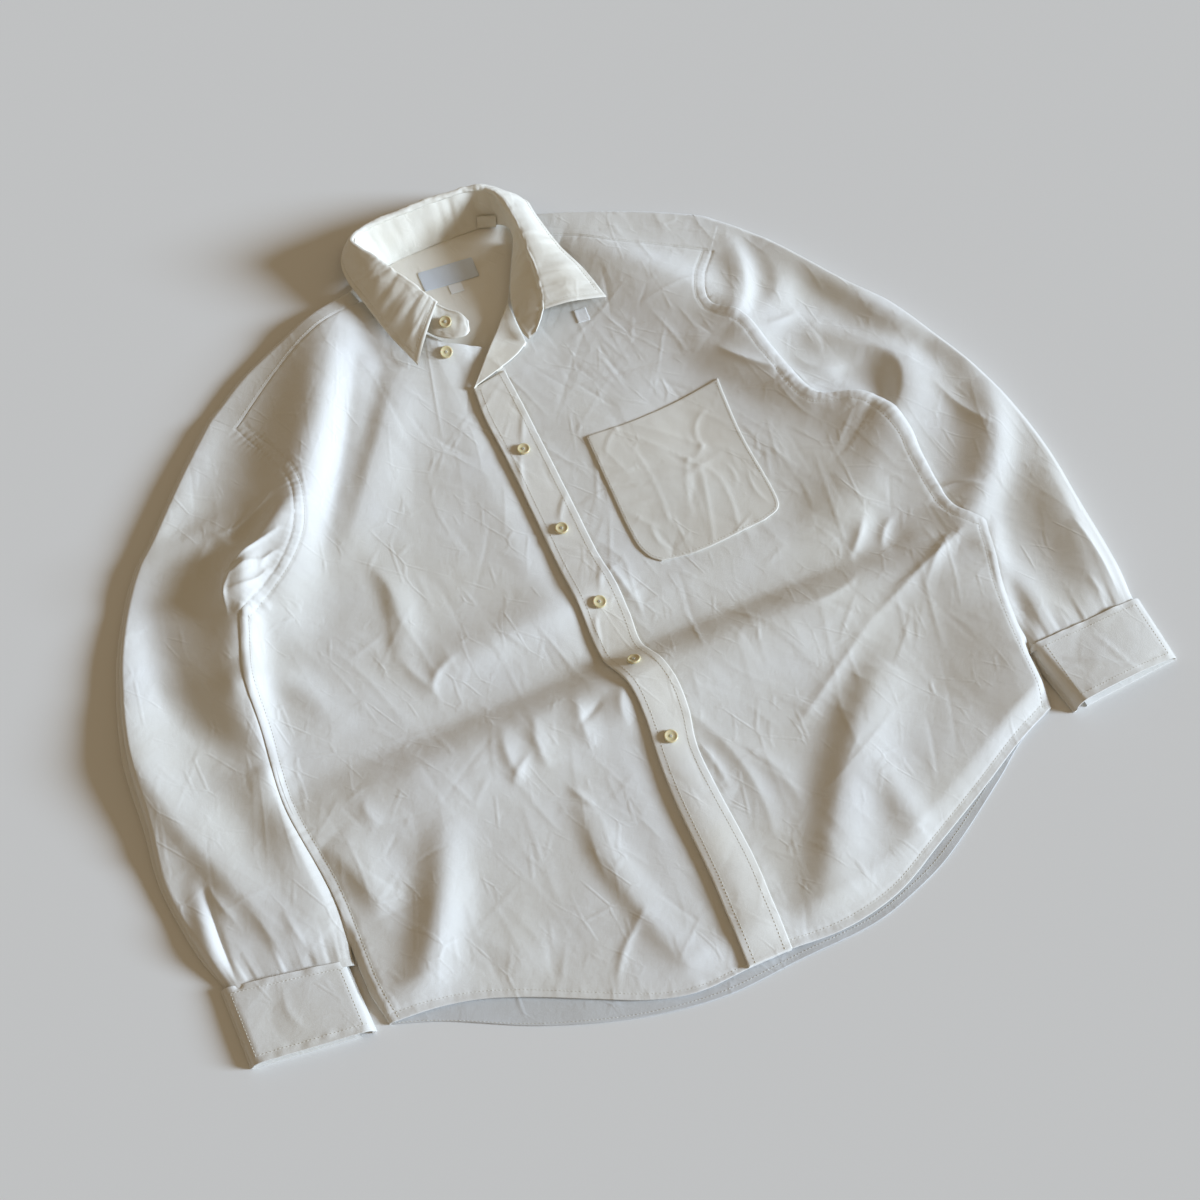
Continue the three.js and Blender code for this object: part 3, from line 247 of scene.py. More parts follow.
# Finer creases that only the look has, as FOLDS, sharper along their crests.
CREASES = table("x0 y0 xm ym x1 y1 left right h0 hm h1", [
  [-149, 78, -159, 45, -167, 13, 7, 5, 0.3, 0.9, 0.3],
  [-152, 102, -148, 74, -152, 46, 4, 7, 0.3, 0.7, 0.2],
  [-152, -24, -142, -12, -122, -4, 5, 3, 0.6, 1.6, 0.3],
  [-152, -24, -160, -6, -164, 10, 4, 4, 0.6, 1.2, 0.3],
  [-120, -90, -124, -110, -121, -132, 8, 6, 0.8, 2.2, 0.4],
  [-92, -88, -98, -108, -98, -130, 8, 6, 0.8, 2.4, 0.4],
  [-54, -88, -59, -108, -60, -128, 8, 7, 0.8, 2.4, 0.4],
  [-14, -92, -24, -106, -26, -124, 9, 8, 1.2, 2.6, 0.5],
  [-240, -92, -242, -104, -236, -116, 7, 6, 0.4, 1.5, 0.4],
  [-109, -113, -119, -120, -128, -128, 4, 3, 0.5, 1.6, 0.4],
  [-65, -109, -51, -103, -37, -96, 4, 3, 0.4, -1.6, -0.6],
  [-91, -150, -86, -162, -80, -174, 4, 3, 0.4, 1.4, 0.4],
  [-128, -312, -112, -290, -84, -268, 3, 3, 0.3, 1.2, 0.4],
  [27, 17, 29, -4, 32, -27, 4, 5, 0.6, 2.0, 0.6],
  [17, -162, 21, -180, 22, -203, 4, 4, 0.5, 1.6, 0.5],
  [20, -130, 40, -190, 36, -250, 8, 8, 0.8, 2.0, 0.8],
  [42, -170, 62, -206, 66, -240, 9, 8, 0.8, 1.8, 0.6],
  [212, -62, 228, -48, 240, -34, 6, 4, 0.6, 2.4, 0.6],
  [240, -66, 250, -52, 262, -44, 5, 4, 0.6, 2.0, 0.5],
  [150, -86, 172, -92, 205, -84, 6, 4, 0.4, 1.4, 0.4],
  [291, -84, 269, -100, 252, -116, 5, 4, 1.5, 1.5, 0.3],
  [303, -84, 247, -105, 192, -126, 6, 5, 1.5, 1.8, 0.4],
  [192, -126, 144, -154, 97, -181, 6, 6, 0.5, 1.5, 0.4],
  [210, 172, 226, 146, 250, 122, 5, 3, 0.5, 2.2, 0.8],
  [-274, 120, -268, 130, -262, 138, 3, 3, 1.0, 2.5, 2.0],
  [-262, 137, -244, 139, -226, 137, 3, 3, 1.5, 2.4, 1.0],
  [-236, 134, -228, 140, -216, 143, 3, 2.5, 0.6, 2.0, 0.6],
  [-268, 106, -262, 98, -256, 88, 3, 4, 0.8, 2.2, 0.6],
  [-252, 112, -247, 103, -243, 96, 3, 3, 0.6, 1.8, 0.4],
  [-258, 190, -252, 172, -244, 156, 8, 6, 0.5, 2.2, 0.5],
  [-262, 188, -280, 168, -288, 150, 6, 6, 0.5, 1.6, 0.3],
  [-378, -106, -381, -145, -382, -188, 2.5, 3, -0.5, -3.0, -2.5],
  [-374, -106, -372, -122, -366, -140, 6, 4, 0.6, 2.0, 0.4],
  [-352, -140, -346, -166, -344, -192, 5, 4, 0.3, 1.4, 1.2],
  [-330, -150, -328, -170, -322, -196, 5, 4, 0.3, 1.4, 1.2],
  [395, -118, 396, -150, 392, -196, 3, 4, 0.6, 2.0, 1.6],
  [378, -166, 380, -182, 382, -198, 3, 4, 0.3, 1.6, 1.6],
  [340, -178, 344, -188, 346, -198, 4, 4, 0.3, 1.4, 1.6],
  [312, -38, 328, -40, 344, -52, 4, 3, 0.5, 1.8, 0.6],
  [366, 60, 374, 24, 386, -4, 6, 5, 0.5, 2.0, 0.6],
  [318, -226, 342, -240, 366, -256, 2, 3, 0.4, 1.4, 0.8],
  [352, -214, 358, -236, 362, -254, 2, 2, 0.2, 0.8, 0.4],
  [-352, -206, -356, -222, -350, -240, 3, 3, 0.2, 0.7, 0.2],
  [13, 162, 20, 176, 26, 188, 2, 3, 0.3, 0.9, 0.3],
  [6, 148, 0, 136, -4, 120, 2, 3, 0.3, 0.9, 0.3],
  [8, 75, 16, 88, 24, 96, 2, 3, 0.3, 0.9, 0.3],
  [8, -2, 14, 10, 20, 20, 2, 3, 0.3, 0.9, 0.3],
  [-5, -20, -9, -32, -12, -45, 2, 3, 0.3, 0.9, 0.3],
  [-276, 106, -272, 126, -264, 142, 2.5, 2, 1.0, 2.6, 1.6],
  [-264, 142, -240, 152, -212, 160, 3, 2, 1.6, 2.8, 1.2],
  [-268, 124, -250, 122, -232, 130, 2.5, 3, 0.6, 2.0, 0.6],
  [-262, 190, -238, 186, -204, 200, 4, 3, 0.6, 2.4, 0.6],
  [262, 180, 276, 178, 300, 186, 5, 5, 0.4, 1.2, 0.3],
  [270, 140, 282, 120, 312, 112, 8, 7, 0.5, 2.0, 0.5],
])
POCKET_CREASES = table("x0 y0 xm ym x1 y1 left right h0 hm h1", [
  [72, 118, 80, 130, 92, 139, 2, 3, 0.3, 0.8, 0.4],
  [92, 139, 98, 90, 92, 40, 1.5, 2.5, 0.5, 0.5, 0.6],
  [92, 40, 95, 22, 98, 8, 1.5, 2.5, 0.6, 0.5, 0.4],
  [92, 139, 120, 104, 134, 84, 1.5, 3, 0.5, 0.9, 0.7],
  [134, 84, 148, 62, 150, 42, 2, 3, 0.7, 0.8, 0.6],
  [150, 42, 146, 20, 140, 2, 1.5, 3, 0.6, 0.8, 0.5],
  [108, 136, 136, 110, 152, 92, 2, 3, 0.3, 0.9, 0.8],
  [172, 124, 156, 112, 152, 92, 2, 3, 0.5, 1.1, 0.8],
  [152, 92, 142, 84, 134, 84, 2, 2, 0.8, 0.7, 0.6],
  [152, 92, 168, 82, 182, 62, 2, 3, 0.6, 0.6, 0.3],
  [134, 84, 122, 62, 112, 34, 1.5, 2.5, 0.6, 0.6, 0.5],
  [141, 74, 130, 40, 116, 2, 1.5, 2.5, 0.5, 0.9, 0.6],
  [66, 98, 82, 97, 98, 99, 1.2, 2, 0.3, 0.5, 0.3],
  [62, 60, 72, 44, 80, 32, 2, 3, 0.2, 0.8, 0.3],
  [76, 38, 74, 22, 80, 10, 2, 3, 0.3, 1.0, 0.4],
  [160, 70, 164, 54, 158, 44, 1.4, 2, 0.2, 0.8, 0.2],
  [176, 52, 172, 34, 176, 16, 1.6, 2.4, 0.2, 0.9, 0.3],
  [150, 138, 170, 120, 186, 96, 3, 3, 0.2, 0.6, 0.2],
])


# ------------------------------------------------------------------ curves and patches
def curve(rows):
    """A smooth curve through a table's rows, by share t of its chord length."""
    points = np.stack(list(rows.values()), -1)
    last = len(points) - 1
    lengths = np.concatenate([[0], np.cumsum(np.linalg.norm(np.diff(points, axis=0), axis=1))])
    before = np.maximum(np.arange(last + 1) - 1, 0)
    after = np.minimum(np.arange(last + 1) + 1, last)
    slope = (points[after] - points[before]) / (lengths[after] - lengths[before])[:, None]

    def at(t):
        s = np.clip(t, 0, 1) * lengths[-1]
        i = np.clip(np.searchsorted(lengths, s) - 1, 0, last - 1)
        h = (lengths[i + 1] - lengths[i])[..., None]
        r = (s - lengths[i])[..., None] / h
        level = (1 + 2 * r) * (1 - r) ** 2 * points[i] + r * r * (3 - 2 * r) * points[i + 1]
        return level + h * (r * (1 - r) ** 2 * slope[i] - r * r * (1 - r) * slope[i + 1])

    return at


def backwards(rows):
    return {name: column[::-1] for name, column in rows.items()}


def chain(first, second, s):
    """The curves of two tables one after another: the first holds up to share s of the whole."""
    first, second = curve(first), curve(second)

    def at(t):
        t = np.asarray(t, float)
        return np.where((t < s)[..., None], first(t / s), second((t - s) / (1 - s)))
    return at


def straight(a, b):
    a, b = np.array(a, float), np.array(b, float)
    return lambda t: a + (b - a) * np.asarray(t, float)[..., None]


def shares(n, crowd=0.0):
    """Shares from 0 to 1 in n steps, closer together near both ends."""
    i = np.arange(n + 1) / n
    return i - crowd * np.sin(2 * np.pi * i) / (2 * np.pi)


def cells(n, crowd=0.0):
    """The same in as many steps as the detail asks for."""
    return shares(int(n * DETAIL), crowd)


def patch(a, b, c, d):
    """Between edge curves: a(u) below, b(u) above, c(v) at u = 0 and d(v) at u = 1."""
    def at(u, v):
        u, v = np.asarray(u, float), np.asarray(v, float)
        uu, vv = u[None, :, None], v[:, None, None]
        along = a(u)[None] * (1 - vv) + b(u)[None] * vv
        across = c(v)[:, None] * (1 - uu) + d(v)[:, None] * uu
        ends = [f(np.array([k]))[None] for f in (a, b) for k in (0.0, 1.0)]
        low = ends[0] * (1 - uu) + ends[1] * uu
        high = ends[2] * (1 - uu) + ends[3] * uu
        return along + across - low * (1 - vv) - high * vv
    return at


def between(left, right):
    """A patch between two side curves, with straight ends."""
    return patch(straight(left(0.0), right(0.0)), straight(left(1.0), right(1.0)), left, right)


def smooth(t):
    t = np.clip(t, 0, 1)
    return t * t * (3 - 2 * t)


def round_edge(d, width):
    return np.sqrt(1 - (1 - np.clip(d / width, 0, 1)) ** 2)


def span(a, b):
    return np.linalg.norm(a - b, axis=-1)


# ------------------------------------------------------------------ the lie of the cloth
def nearest(line, x, y):
    """For each point: gap to a polyline, -1 to 1 for its side, and place along it in segments."""
    gap = np.full(x.shape, np.inf)
    lean = np.zeros(x.shape)
    place = np.zeros(x.shape)
    for i in range(len(line) - 1):
        a, d = line[i], line[i + 1] - line[i]
        length = np.hypot(*d)
        t = np.clip(((x - a[0]) * d[0] + (y - a[1]) * d[1]) / length ** 2, 0, 1)
        px, py = x - a[0] - t * d[0], y - a[1] - t * d[1]
        g = np.hypot(px, py)
        closer = g < gap
        gap = np.where(closer, g, gap)
        lean = np.where(closer, (d[0] * py - d[1] * px) / (length * np.maximum(g, TINY)), lean)
        place = np.where(closer, i + t, place)
    return gap, lean, place


def relief(folds, x, y, power):
    """Sum of a table's folds at x, y. A high power makes blunt folds, a low one sharp creases."""
    total = np.zeros(x.shape)
    t = shares(FOLD_PARTS)
    by = np.stack([(1 - t) * (1 - 2 * t), 4 * t * (1 - t), t * (2 * t - 1)])
    for row in zip(*folds.values()):
        x0, y0, xm, ym, x1, y1, left, right, *heights = row
        line = np.array([[x0, xm, x1] @ by, [y0, ym, y1] @ by]).T
        reach = 3 * max(left, right)
        low, high = line.min(0) - reach, line.max(0) + reach
        near = (x > low[0]) & (x < high[0]) & (y > low[1]) & (y < high[1])
        if not near.any():
            continue
        gap, lean, place = nearest(line, x[near], y[near])
        height = np.interp(place, np.arange(FOLD_PARTS + 1), np.array(heights) @ by)
        side = (left + right) / 2 + lean * (left - right) / 2
        total[near] += height * np.exp(-(gap / side) ** power)
    return total


def lattice(i, j, seed):
    """Fixed random values from -1 to 1 at whole numbers i, j."""
    values = np.random.default_rng(seed).uniform(-1, 1, LATTICE)
    return values[np.mod(i, LATTICE[0]), np.mod(j, LATTICE[1])]


def drift(x, y, size, seed):
    """Smooth random values from -1 to 1, with bumps of about the given size."""
    a, b = x / size, y / size
    i, j = np.floor(a).astype(int), np.floor(b).astype(int)
    s, t = smooth(a - i), smooth(b - j)
    low = lattice(i, j, seed) * (1 - s) + lattice(i + 1, j, seed) * s
    high = lattice(i, j + 1, seed) * (1 - s) + lattice(i + 1, j + 1, seed) * s
    return low * (1 - t) + high * t


def facets(x, y, size, seed, turn=0.0, stretch=1.0):
    """Random relief of flat facets with creases between them, as in crushed cotton."""
    c, s = math.cos(turn), math.sin(turn)
    p, q = (x * c + y * s) / stretch, -x * s + y * c
    p = p + 0.5 * size * drift(x, y, 1.9 * size, seed + 1)
    q = q + 0.5 * size * drift(x, y, 1.9 * size, seed + 2)
    total = 0
    for dp, dq in ((0.05, 0.02), (-0.05, 0.03), (0.0, -0.05)):
        a, b = p / size - q / (size * math.sqrt(3)) + dp, 2 * q / (size * math.sqrt(3)) + dq
        i, j = np.floor(a).astype(int), np.floor(b).astype(int)
        f, g = a - i, b - j
        right, above = lattice(i + 1, j, seed), lattice(i, j + 1, seed)
        lower = lattice(i, j, seed) * (1 - f - g) + right * f + above * g
        upper = lattice(i + 1, j + 1, seed) * (f + g - 1) + above * (1 - f) + right * (1 - g)
        total = total + np.where(f + g < 1, lower, upper) / 3
    return total


def crumple(x, y):
    """The small crushed relief that lies over the whole shirt."""
    rough = 0.7 + 0.3 * drift(x, y, 90, 5)
    broad = 1.1 * facets(x, y, 70, 11, 0.4, 1.5) + 0.7 * facets(x, y, 27, 21, 2.0, 1.4)
    calm = 1 - 0.6 * smooth((y - 40) / 60) * smooth((-50 - x) / 40)
    calm = calm * (1 - 0.5 * smooth((np.abs(x) - 285) / 20))
    small = 0.22 * facets(x, y, 11, 31, 1.9, 1.8)
    return rough * (broad + small) + calm * relief(WRINKLES, x, y, 1.1)


def scattered(count, seed):
    """Straight small wrinkles, as FOLDS, spread over the whole shirt, most of them running roughly
    along its length.
    """
    rng = np.random.default_rng(seed)
    x, y = rng.uniform(-400, 420, count), rng.uniform(-350, 390, count)
    turn = np.where(rng.random(count) < 0.7, rng.normal(1.75, 0.5, count),
                    rng.uniform(0, np.pi, count))
    length = rng.gamma(2.4, 8.0, count) + 8
    dx, dy = length * np.cos(turn), length * np.sin(turn)
    bend = rng.normal(0, 0.05, count)
    height = rng.uniform(0.1, 0.5, count) * np.where(rng.random(count) < 0.7, 1, -1)
    wide = rng.uniform(1.0, 2.0, count)
    zero = 0 * x
    return {"x0": x - dx, "y0": y - dy, "xm": x - dy * bend, "ym": y + dx * bend, "x1": x + dx,
            "y1": y + dy, "left": wide, "right": wide * rng.uniform(1.0, 2.4, count), "h0": zero,
            "hm": height, "h1": zero}


WRINKLES = scattered(int(820 * DETAIL), 3)


def lie(x, y, body=True):
    """Height of the upper layers' underside above the layer that they lie on."""
    height = LOFT + relief(FOLDS, x, y, 2) + body * relief(BODY_FOLDS, x, y, 2)
    bent = LEAST_LOFT + np.maximum(height, 0) ** 2 / (4 * LEAST_LOFT)
    height = np.where(height > 2 * LEAST_LOFT, height, bent)
    height = height + relief(CREASES, x, y, 1.35) + crumple(x, y)
    return np.maximum(height, 1.2)


# ------------------------------------------------------------------ surfaces and meshes
def raised(plan, z):
    return np.concatenate([plan, z[..., None]], -1)


def rim(surface, radius, tuck=3.0, sides="udlr", steps=4):
    """Rolls a surface's edges down and back under: u last row, d first row, l and r columns."""
    for side in sides:
        grid = surface if side in "ud" else surface.transpose(1, 0, 2)
        grid = grid[::-1] if side in "dl" else grid
        out = grid[-1] - grid[-3]
        out[:, 2] = 0
        out /= np.maximum(np.linalg.norm(out, axis=1, keepdims=True), TINY)
        r = np.broadcast_to(np.asarray(radius, float), grid[-1, :, 2].shape)[:, None]
        rows = [grid]
        down = np.array([0, 0, -1.0])
        for k in range(1, steps + 1):
            a = math.pi * k / steps
            rows.append((grid[-1] + r * (math.sin(a) * out + (1 - math.cos(a)) * down))[None])
        rows.append((grid[-1] - tuck * out + 2 * r * down)[None])
        grid = np.concatenate(rows)
        grid = grid[::-1] if side in "dl" else grid
        surface = grid if side in "ud" else grid.transpose(1, 0, 2)
    surface[..., 2] = np.maximum(surface[..., 2], OFF_FLOOR)
    return surface


def grid_faces(rows, columns, start=0, loop=False):
    """Faces between a grid's points; a loop joins its last column to its first."""
    last = columns if loop else columns - 1
    j, i = np.meshgrid(np.arange(rows - 1), np.arange(last), indexing="ij")
    at = lambda a, b: start + a * columns + b % columns
    faces = np.stack([at(j, i), at(j, i + 1), at(j + 1, i + 1), at(j + 1, i)], -1)
    return faces.reshape(-1, 4)


def build(name, vertices, faces, material, replaces=()):
    """A smooth-shaded piece from points in millimetres, riding on the shirt."""
    mesh = bpy.data.meshes.new(name)
    mesh.from_pydata((vertices * MM).tolist(), [], faces.tolist())
    mesh.polygons.foreach_set("use_smooth", np.ones(len(mesh.polygons), bool))
    mesh.materials.append(material)
    mesh.update()
    piece = bpy.data.objects.new(name, mesh)
    bpy.context.scene.collection.objects.link(piece)
    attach(piece, "root")
    if replaces:
        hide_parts(*replaces)
    return piece


def cloth(name, surfaces, material, replaces, loop=False):
    """A piece from grids of points; its faces look up where the grids run to the left."""
    vertices, faces, start = [], [], 0
    for grid in surfaces:
        rows, columns = grid.shape[:2]
        cells = grid_faces(rows, columns, start, loop)
        middle = grid[: rows // 2 + 1]
        across = (middle[:, 1:] - middle[:, :-1])[:-1]
        along = (middle[1:] - middle[:-1])[:, :-1]
        if not loop and np.cross(across, along)[..., 2].sum() < 0:
            cells = cells[:, ::-1]
        vertices.append(grid.reshape(-1, 3))
        faces.append(cells)
        start += rows * columns
    return build(name, np.concatenate(vertices), np.concatenate(faces), material, replaces)


def sewn(x, y):
    """Puckers along the sewn lines, and the shallow groove of each line."""
    total = np.zeros(x.shape)
    for number, (line, pucker, reach, even) in enumerate(SEWN_LINES):
        low, high = line.min(0) - 3 * reach, line.max(0) + 3 * reach
        near = (x > low[0]) & (x < high[0]) & (y > low[1]) & (y < high[1])
        gap, _, place = nearest(line, x[near], y[near])
        along = place * np.linalg.norm(line[1:] - line[:-1], axis=1).mean()
        sway = lambda size, seed: drift(along, 0 * along, size, seed + number)
        wave = 0.5 * sway(4.5, 50) + 0.5 * sway(9, 70)
        beat = 2 * np.pi * along / PUCKER_PITCH + 2.5 * sway(30, 90)
        evenly = even * np.sin(beat) * (0.6 + 0.4 * sway(40, 95))
        total[near] += (pucker * wave + evenly) * np.exp(-(gap / reach) ** 2)
        total[near] -= GROOVE * np.exp(-(gap / GROOVE_WIDTH) ** 2)
    return total


def line_of(rows, by=0, steps=40):
    """A table's curve as a polyline, moved sideways, to its left where by is positive."""
    return offset(curve(rows)(shares(steps)), by)


def offset(line, by):
    """A plan line moved sideways, to its left where by is positive."""
    along = np.gradient(line, axis=0)
    along /= np.linalg.norm(along, axis=1, keepdims=True)
    return line + by * np.stack([-along[:, 1], along[:, 0]], -1)


# Each sewn line, its random puckers and their reach, and its even puckers.
SEWN_LINES = [
    (line_of(RIGHT_ARMHOLE), 0.9, 8, 0.5), (line_of(LEFT_ARMHOLE), 0.5, 8, 0.12),
    (line_of(RIGHT_ARMHOLE, -ARMHOLE_STITCH), 0.3, 5, 0.2),
    (line_of(LEFT_ARMHOLE, ARMHOLE_STITCH), 0.3, 5, 0.06),
    (line_of(RIGHT_YOKE_SEAM), 0.3, 6, 0), (line_of(LEFT_YOKE_SEAM), 0.3, 6, 0),
    (line_of(PLACKET_SEWN), 0.35, 8, 0.05),
    (line_of(RIGHT_SIDE), 0.35, 8, 0.05), (line_of(LEFT_SIDE), 0.35, 8, 0.05),
    (line_of(RIGHT_SIDE, -6.5), 0.35, 5, 0.05), (line_of(LEFT_SIDE, 6.5), 0.35, 5, 0.05),
    (line_of(RIGHT_FRONT_HEM, HEM_WIDTH), 0.35, 5, 0.08),
    (line_of(LEFT_FRONT_HEM, HEM_WIDTH), 0.35, 5, 0.08),
]


# ------------------------------------------------------------------ fronts, placket and pocket
def front_z(x, y, edge, hem, hem_z):
    """Height of a front's upper surface, from its distance to the side and to the hem."""
    rise = smooth(hem / HEM_ROUND)
    side = SIDE_SHARE + (1 - SIDE_SHARE) * round_edge(edge, SIDE_ROUND)
    stand = lie(x, y) * side * (HEM_LIE + (1 - HEM_LIE) * rise)
    return LAYER_Z + (hem_z - LAYER_Z) * (1 - rise) + stand + CLOTH


def front(main, band_far, low_share, drop):
    """A front's upper surface, from its side to the far edge of its band."""
    u, v = cells(176, 0.2), cells(400, 0.1)
    plan = main(u, v)
    near = plan[:, -1:]
    across = cells(14)[1:, None]
    plan = np.concatenate([plan, near + (band_far(v)[:, None] - near) * across], 1)
    x, y = plan[..., 0], plan[..., 1]
    in_band = smooth(1 - span(plan, near) / BAND_BLEND)
    in_band[:, len(u):] = 1
    width = span(plan[:, :1], near)
    free = smooth((v - low_share) / EDGE_STEP)[:, None] * SIDE_ROUND
    edge = np.minimum(span(plan[:, :1], plan), width) + free
    hem = (v * FRONT_LENGTH)[:, None]
    z = front_z(x, y, edge, hem, LAYER_Z + UNDERLAP_DROP * in_band) - drop * in_band
    surface = raised(plan, z + sewn(x, y))
    below = 1 - smooth((v - low_share) / EDGE_STEP)
    roll = EDGE + 0.4 * relief(BODY_FOLDS, x[:, 0], y[:, 0], 2) * (1 - below)
    roll = roll + below * (np.maximum((surface[:, 0, 2] - CLOTH) / 2, 0.4) - roll)
    return rim(surface, roll, sides="l")


right_boundary = chain(RIGHT_SIDE, RIGHT_ARMHOLE, PIT_SHARE["right"])
left_boundary = chain(LEFT_SIDE, LEFT_ARMHOLE, PIT_SHARE["left"])
right_main = patch(curve(RIGHT_FRONT_HEM), curve(RIGHT_NECK), right_boundary,
                   chain(PLACKET_FREE, BAND_INNER_TOP, TURN))
left_main = patch(curve(backwards(LEFT_FRONT_HEM)), curve(backwards(LEFT_YOKE_SEAM)), left_boundary,
                  chain(PLACKET_SEWN, ROLL_INNER_TOP, TURN))
right_front = front(right_main, chain(PLACKET_SEWN, BAND_EDGE_TOP, TURN),
                    LOW_SHARE["right"], UNDERLAP_DROP)
left_front = front(left_main, chain(PLACKET_FREE, ROLL_TOP, TURN),
                   LOW_SHARE["left"], 0)

free_at, sewn_at = curve(PLACKET_FREE), curve(PLACKET_SEWN)
placket_plan = between(free_at, sewn_at)


def on_front(plan, lift, hem=FRONT_LENGTH):
    """A surface that lies on the left front, from its plan."""
    x, y = plan[..., 0], plan[..., 1]
    z = front_z(x, y, SIDE_ROUND, hem, LAYER_Z + UNDERLAP_DROP)
    return raised(plan, z + lift + 0.5 * sewn(x, y))


v = cells(260)
placket = on_front(placket_plan(cells(26, 0.3), v), LAYER_Z,
                   (v * TURN * FRONT_LENGTH)[:, None])
pocket_plan = patch(curve(POCKET_BOTTOM), curve(POCKET_TOP), curve(POCKET_LEFT),
                    curve(POCKET_RIGHT))
pocket = on_front(pocket_plan(cells(76, 0.2), cells(80, 0.2)), LAYER_Z)
pocket[..., 2] += 0.6 * relief(POCKET_CREASES, pocket[..., 0], pocket[..., 1], 1.2)

# The turned-over top rolls up from the left front's edge and lies on it.
roll_at, far_at = curve(TURN_ROLL), curve(TURN_FAR)
turn_plan = between(roll_at, far_at)
turned = on_front(turn_plan(cells(20, 0.2), cells(50)), LAP)

# ------------------------------------------------------------------ back and yoke
back_plan = patch(curve(BACK_HEM), straight(right_boundary(1.0), left_boundary(1.0)),
                  right_boundary, left_boundary)
v = cells(120) ** 1.6
back_grid = back_plan(cells(220), v)
near_hem = np.exp(-(v * FRONT_LENGTH / 25) ** 2)[:, None]
ripple = 0.5 * (1 + drift(back_grid[..., 0], back_grid[..., 1], 26, 41)) * near_hem
back = raised(back_grid, CLOTH + ripple)


def outer_fold(gap):
    """Share of its height that cloth has at some gap from the fold that it rolls over."""
    return OUTER_SHARE + (1 - OUTER_SHARE) * round_edge(gap, OUTER_ROUND)


def shoulder(fold, seam):
    """The strip of the yoke over a shoulder, from its seam to its fold."""
    u, t = cells(26, -0.4), cells(90)
    start, end = seam(t)[:, None], fold(t)[:, None]
    end = end + OUTER_INSET * (start - end) / span(start, end)[..., None]
    plan = start + (end - start) * u[None, :, None]
    x, y = plan[..., 0], plan[..., 1]
    z = LAYER_Z + CLOTH + lie(x, y) * outer_fold(span(plan, end)) + sewn(x, y)
    strip = raised(plan, z)
    return rim(rim(strip, (strip[:, -1, 2] - CLOTH) / 2, sides="r"), EDGE, sides="udl")


right_strip = shoulder(curve(RIGHT_SHOULDER), curve(RIGHT_YOKE_SEAM))
left_strip = shoulder(curve(LEFT_SHOULDER), curve(LEFT_YOKE_EDGE))
NECK_ENDS = curve(BACK_NECK)(np.array([0.0, 1.0]))
neck_plan = patch(straight(*NECK_LOW), curve(BACK_NECK), straight(NECK_LOW[0], NECK_ENDS[0]),
                  straight(NECK_LOW[1], NECK_ENDS[1]))
neck_grid = neck_plan(cells(110), cells(90))
neck_relief = 0.8 * drift(neck_grid[..., 0], neck_grid[..., 1], 38, 61)
neck_relief = neck_relief + 0.5 * facets(neck_grid[..., 0], neck_grid[..., 1], 22, 63, 1.2, 1.6)
neck_floor = raised(neck_grid, CLOTH + 0.7 + np.maximum(neck_relief, -0.4))

# ------------------------------------------------------------------ sleeves and cuffs
def tube(top, left_radius, right_radius):
    """Closes an upper surface into a flat tube, with edges that roll under to a flat layer."""
    low = rim(top, left_radius, tuck=0.5, sides="l")
    low = rim(low, right_radius, tuck=0.5, sides="r", steps=6)
    left, right = low[:, :1].copy(), low[:, -1:].copy()
    left[..., 2] = right[..., 2] = FLAT_Z
    t = shares(UNDER_COLUMNS)[None, 1:-1, None]
    return np.concatenate([low, right + (left - right) * t], 1)


def sleeve(armhole, underarm, share, outer, cuff_top):
    """A sleeve's flat tube: it tucks in under the body and comes down to its cuff."""
    inner, fold = chain(armhole, underarm, share), curve(outer)
    u, v = cells(120, 0.3), cells(340, 0.1)
    a, b = inner(v)[:, None], fold(v)[:, None]
    b = b + OUTER_INSET * (a - b) / span(a, b)[..., None]
    below = smooth((v - share) / EDGE_STEP + 0.5)[:, None]
    a = a + below[..., None] * TUCK * (a - b) / span(a, b)[..., None]
    plan = a + (b - a) * u[None, :, None]
    plan[-1] += TUCK * (plan[-1] - plan[-2]) / span(plan[-1], plan[-2])[:, None]
    x, y = plan[..., 0], plan[..., 1]
    from_body, from_cuff = span(plan, a), span(plan, plan[-1:])
    z = LAYER_Z + CLOTH + lie(x, y, False) * outer_fold(span(plan, b)) + sewn(x, y)
    z = z - below * UNDER_BODY * np.exp(-(from_body / BODY_REACH) ** 2)
    come_down = np.exp(-(from_cuff / NEAR_CUFF) ** 2)
    along = u[None] * 90 + 0 * y
    gather = 0.9 * drift(along, 0 * y, 7, 201) + 0.5 * drift(along, 0 * y, 3, 203)
    seam_z = cuff_top(u)[None] * round_edge(np.minimum(from_body, span(plan, b)), SIDE_ROUND) + 1.5
    z = z + come_down * (seam_z + gather * (1 - np.exp(-(from_cuff / 6) ** 2)) - z)
    return tube(raised(plan, z), 1.1, (z[:, -1] - FLAT_Z) / 2)


right_sleeve = sleeve(backwards(RIGHT_ARMHOLE), RIGHT_UNDERARM, HEAD_SHARE["right"],
                      RIGHT_SLEEVE_OUTER, lambda u: 5.5 + 0 * u)
left_sleeve = sleeve(backwards(LEFT_ARMHOLE), LEFT_UNDERARM, HEAD_SHARE["left"],
                     LEFT_SLEEVE_OUTER, lambda u: 13 - 9 * u)


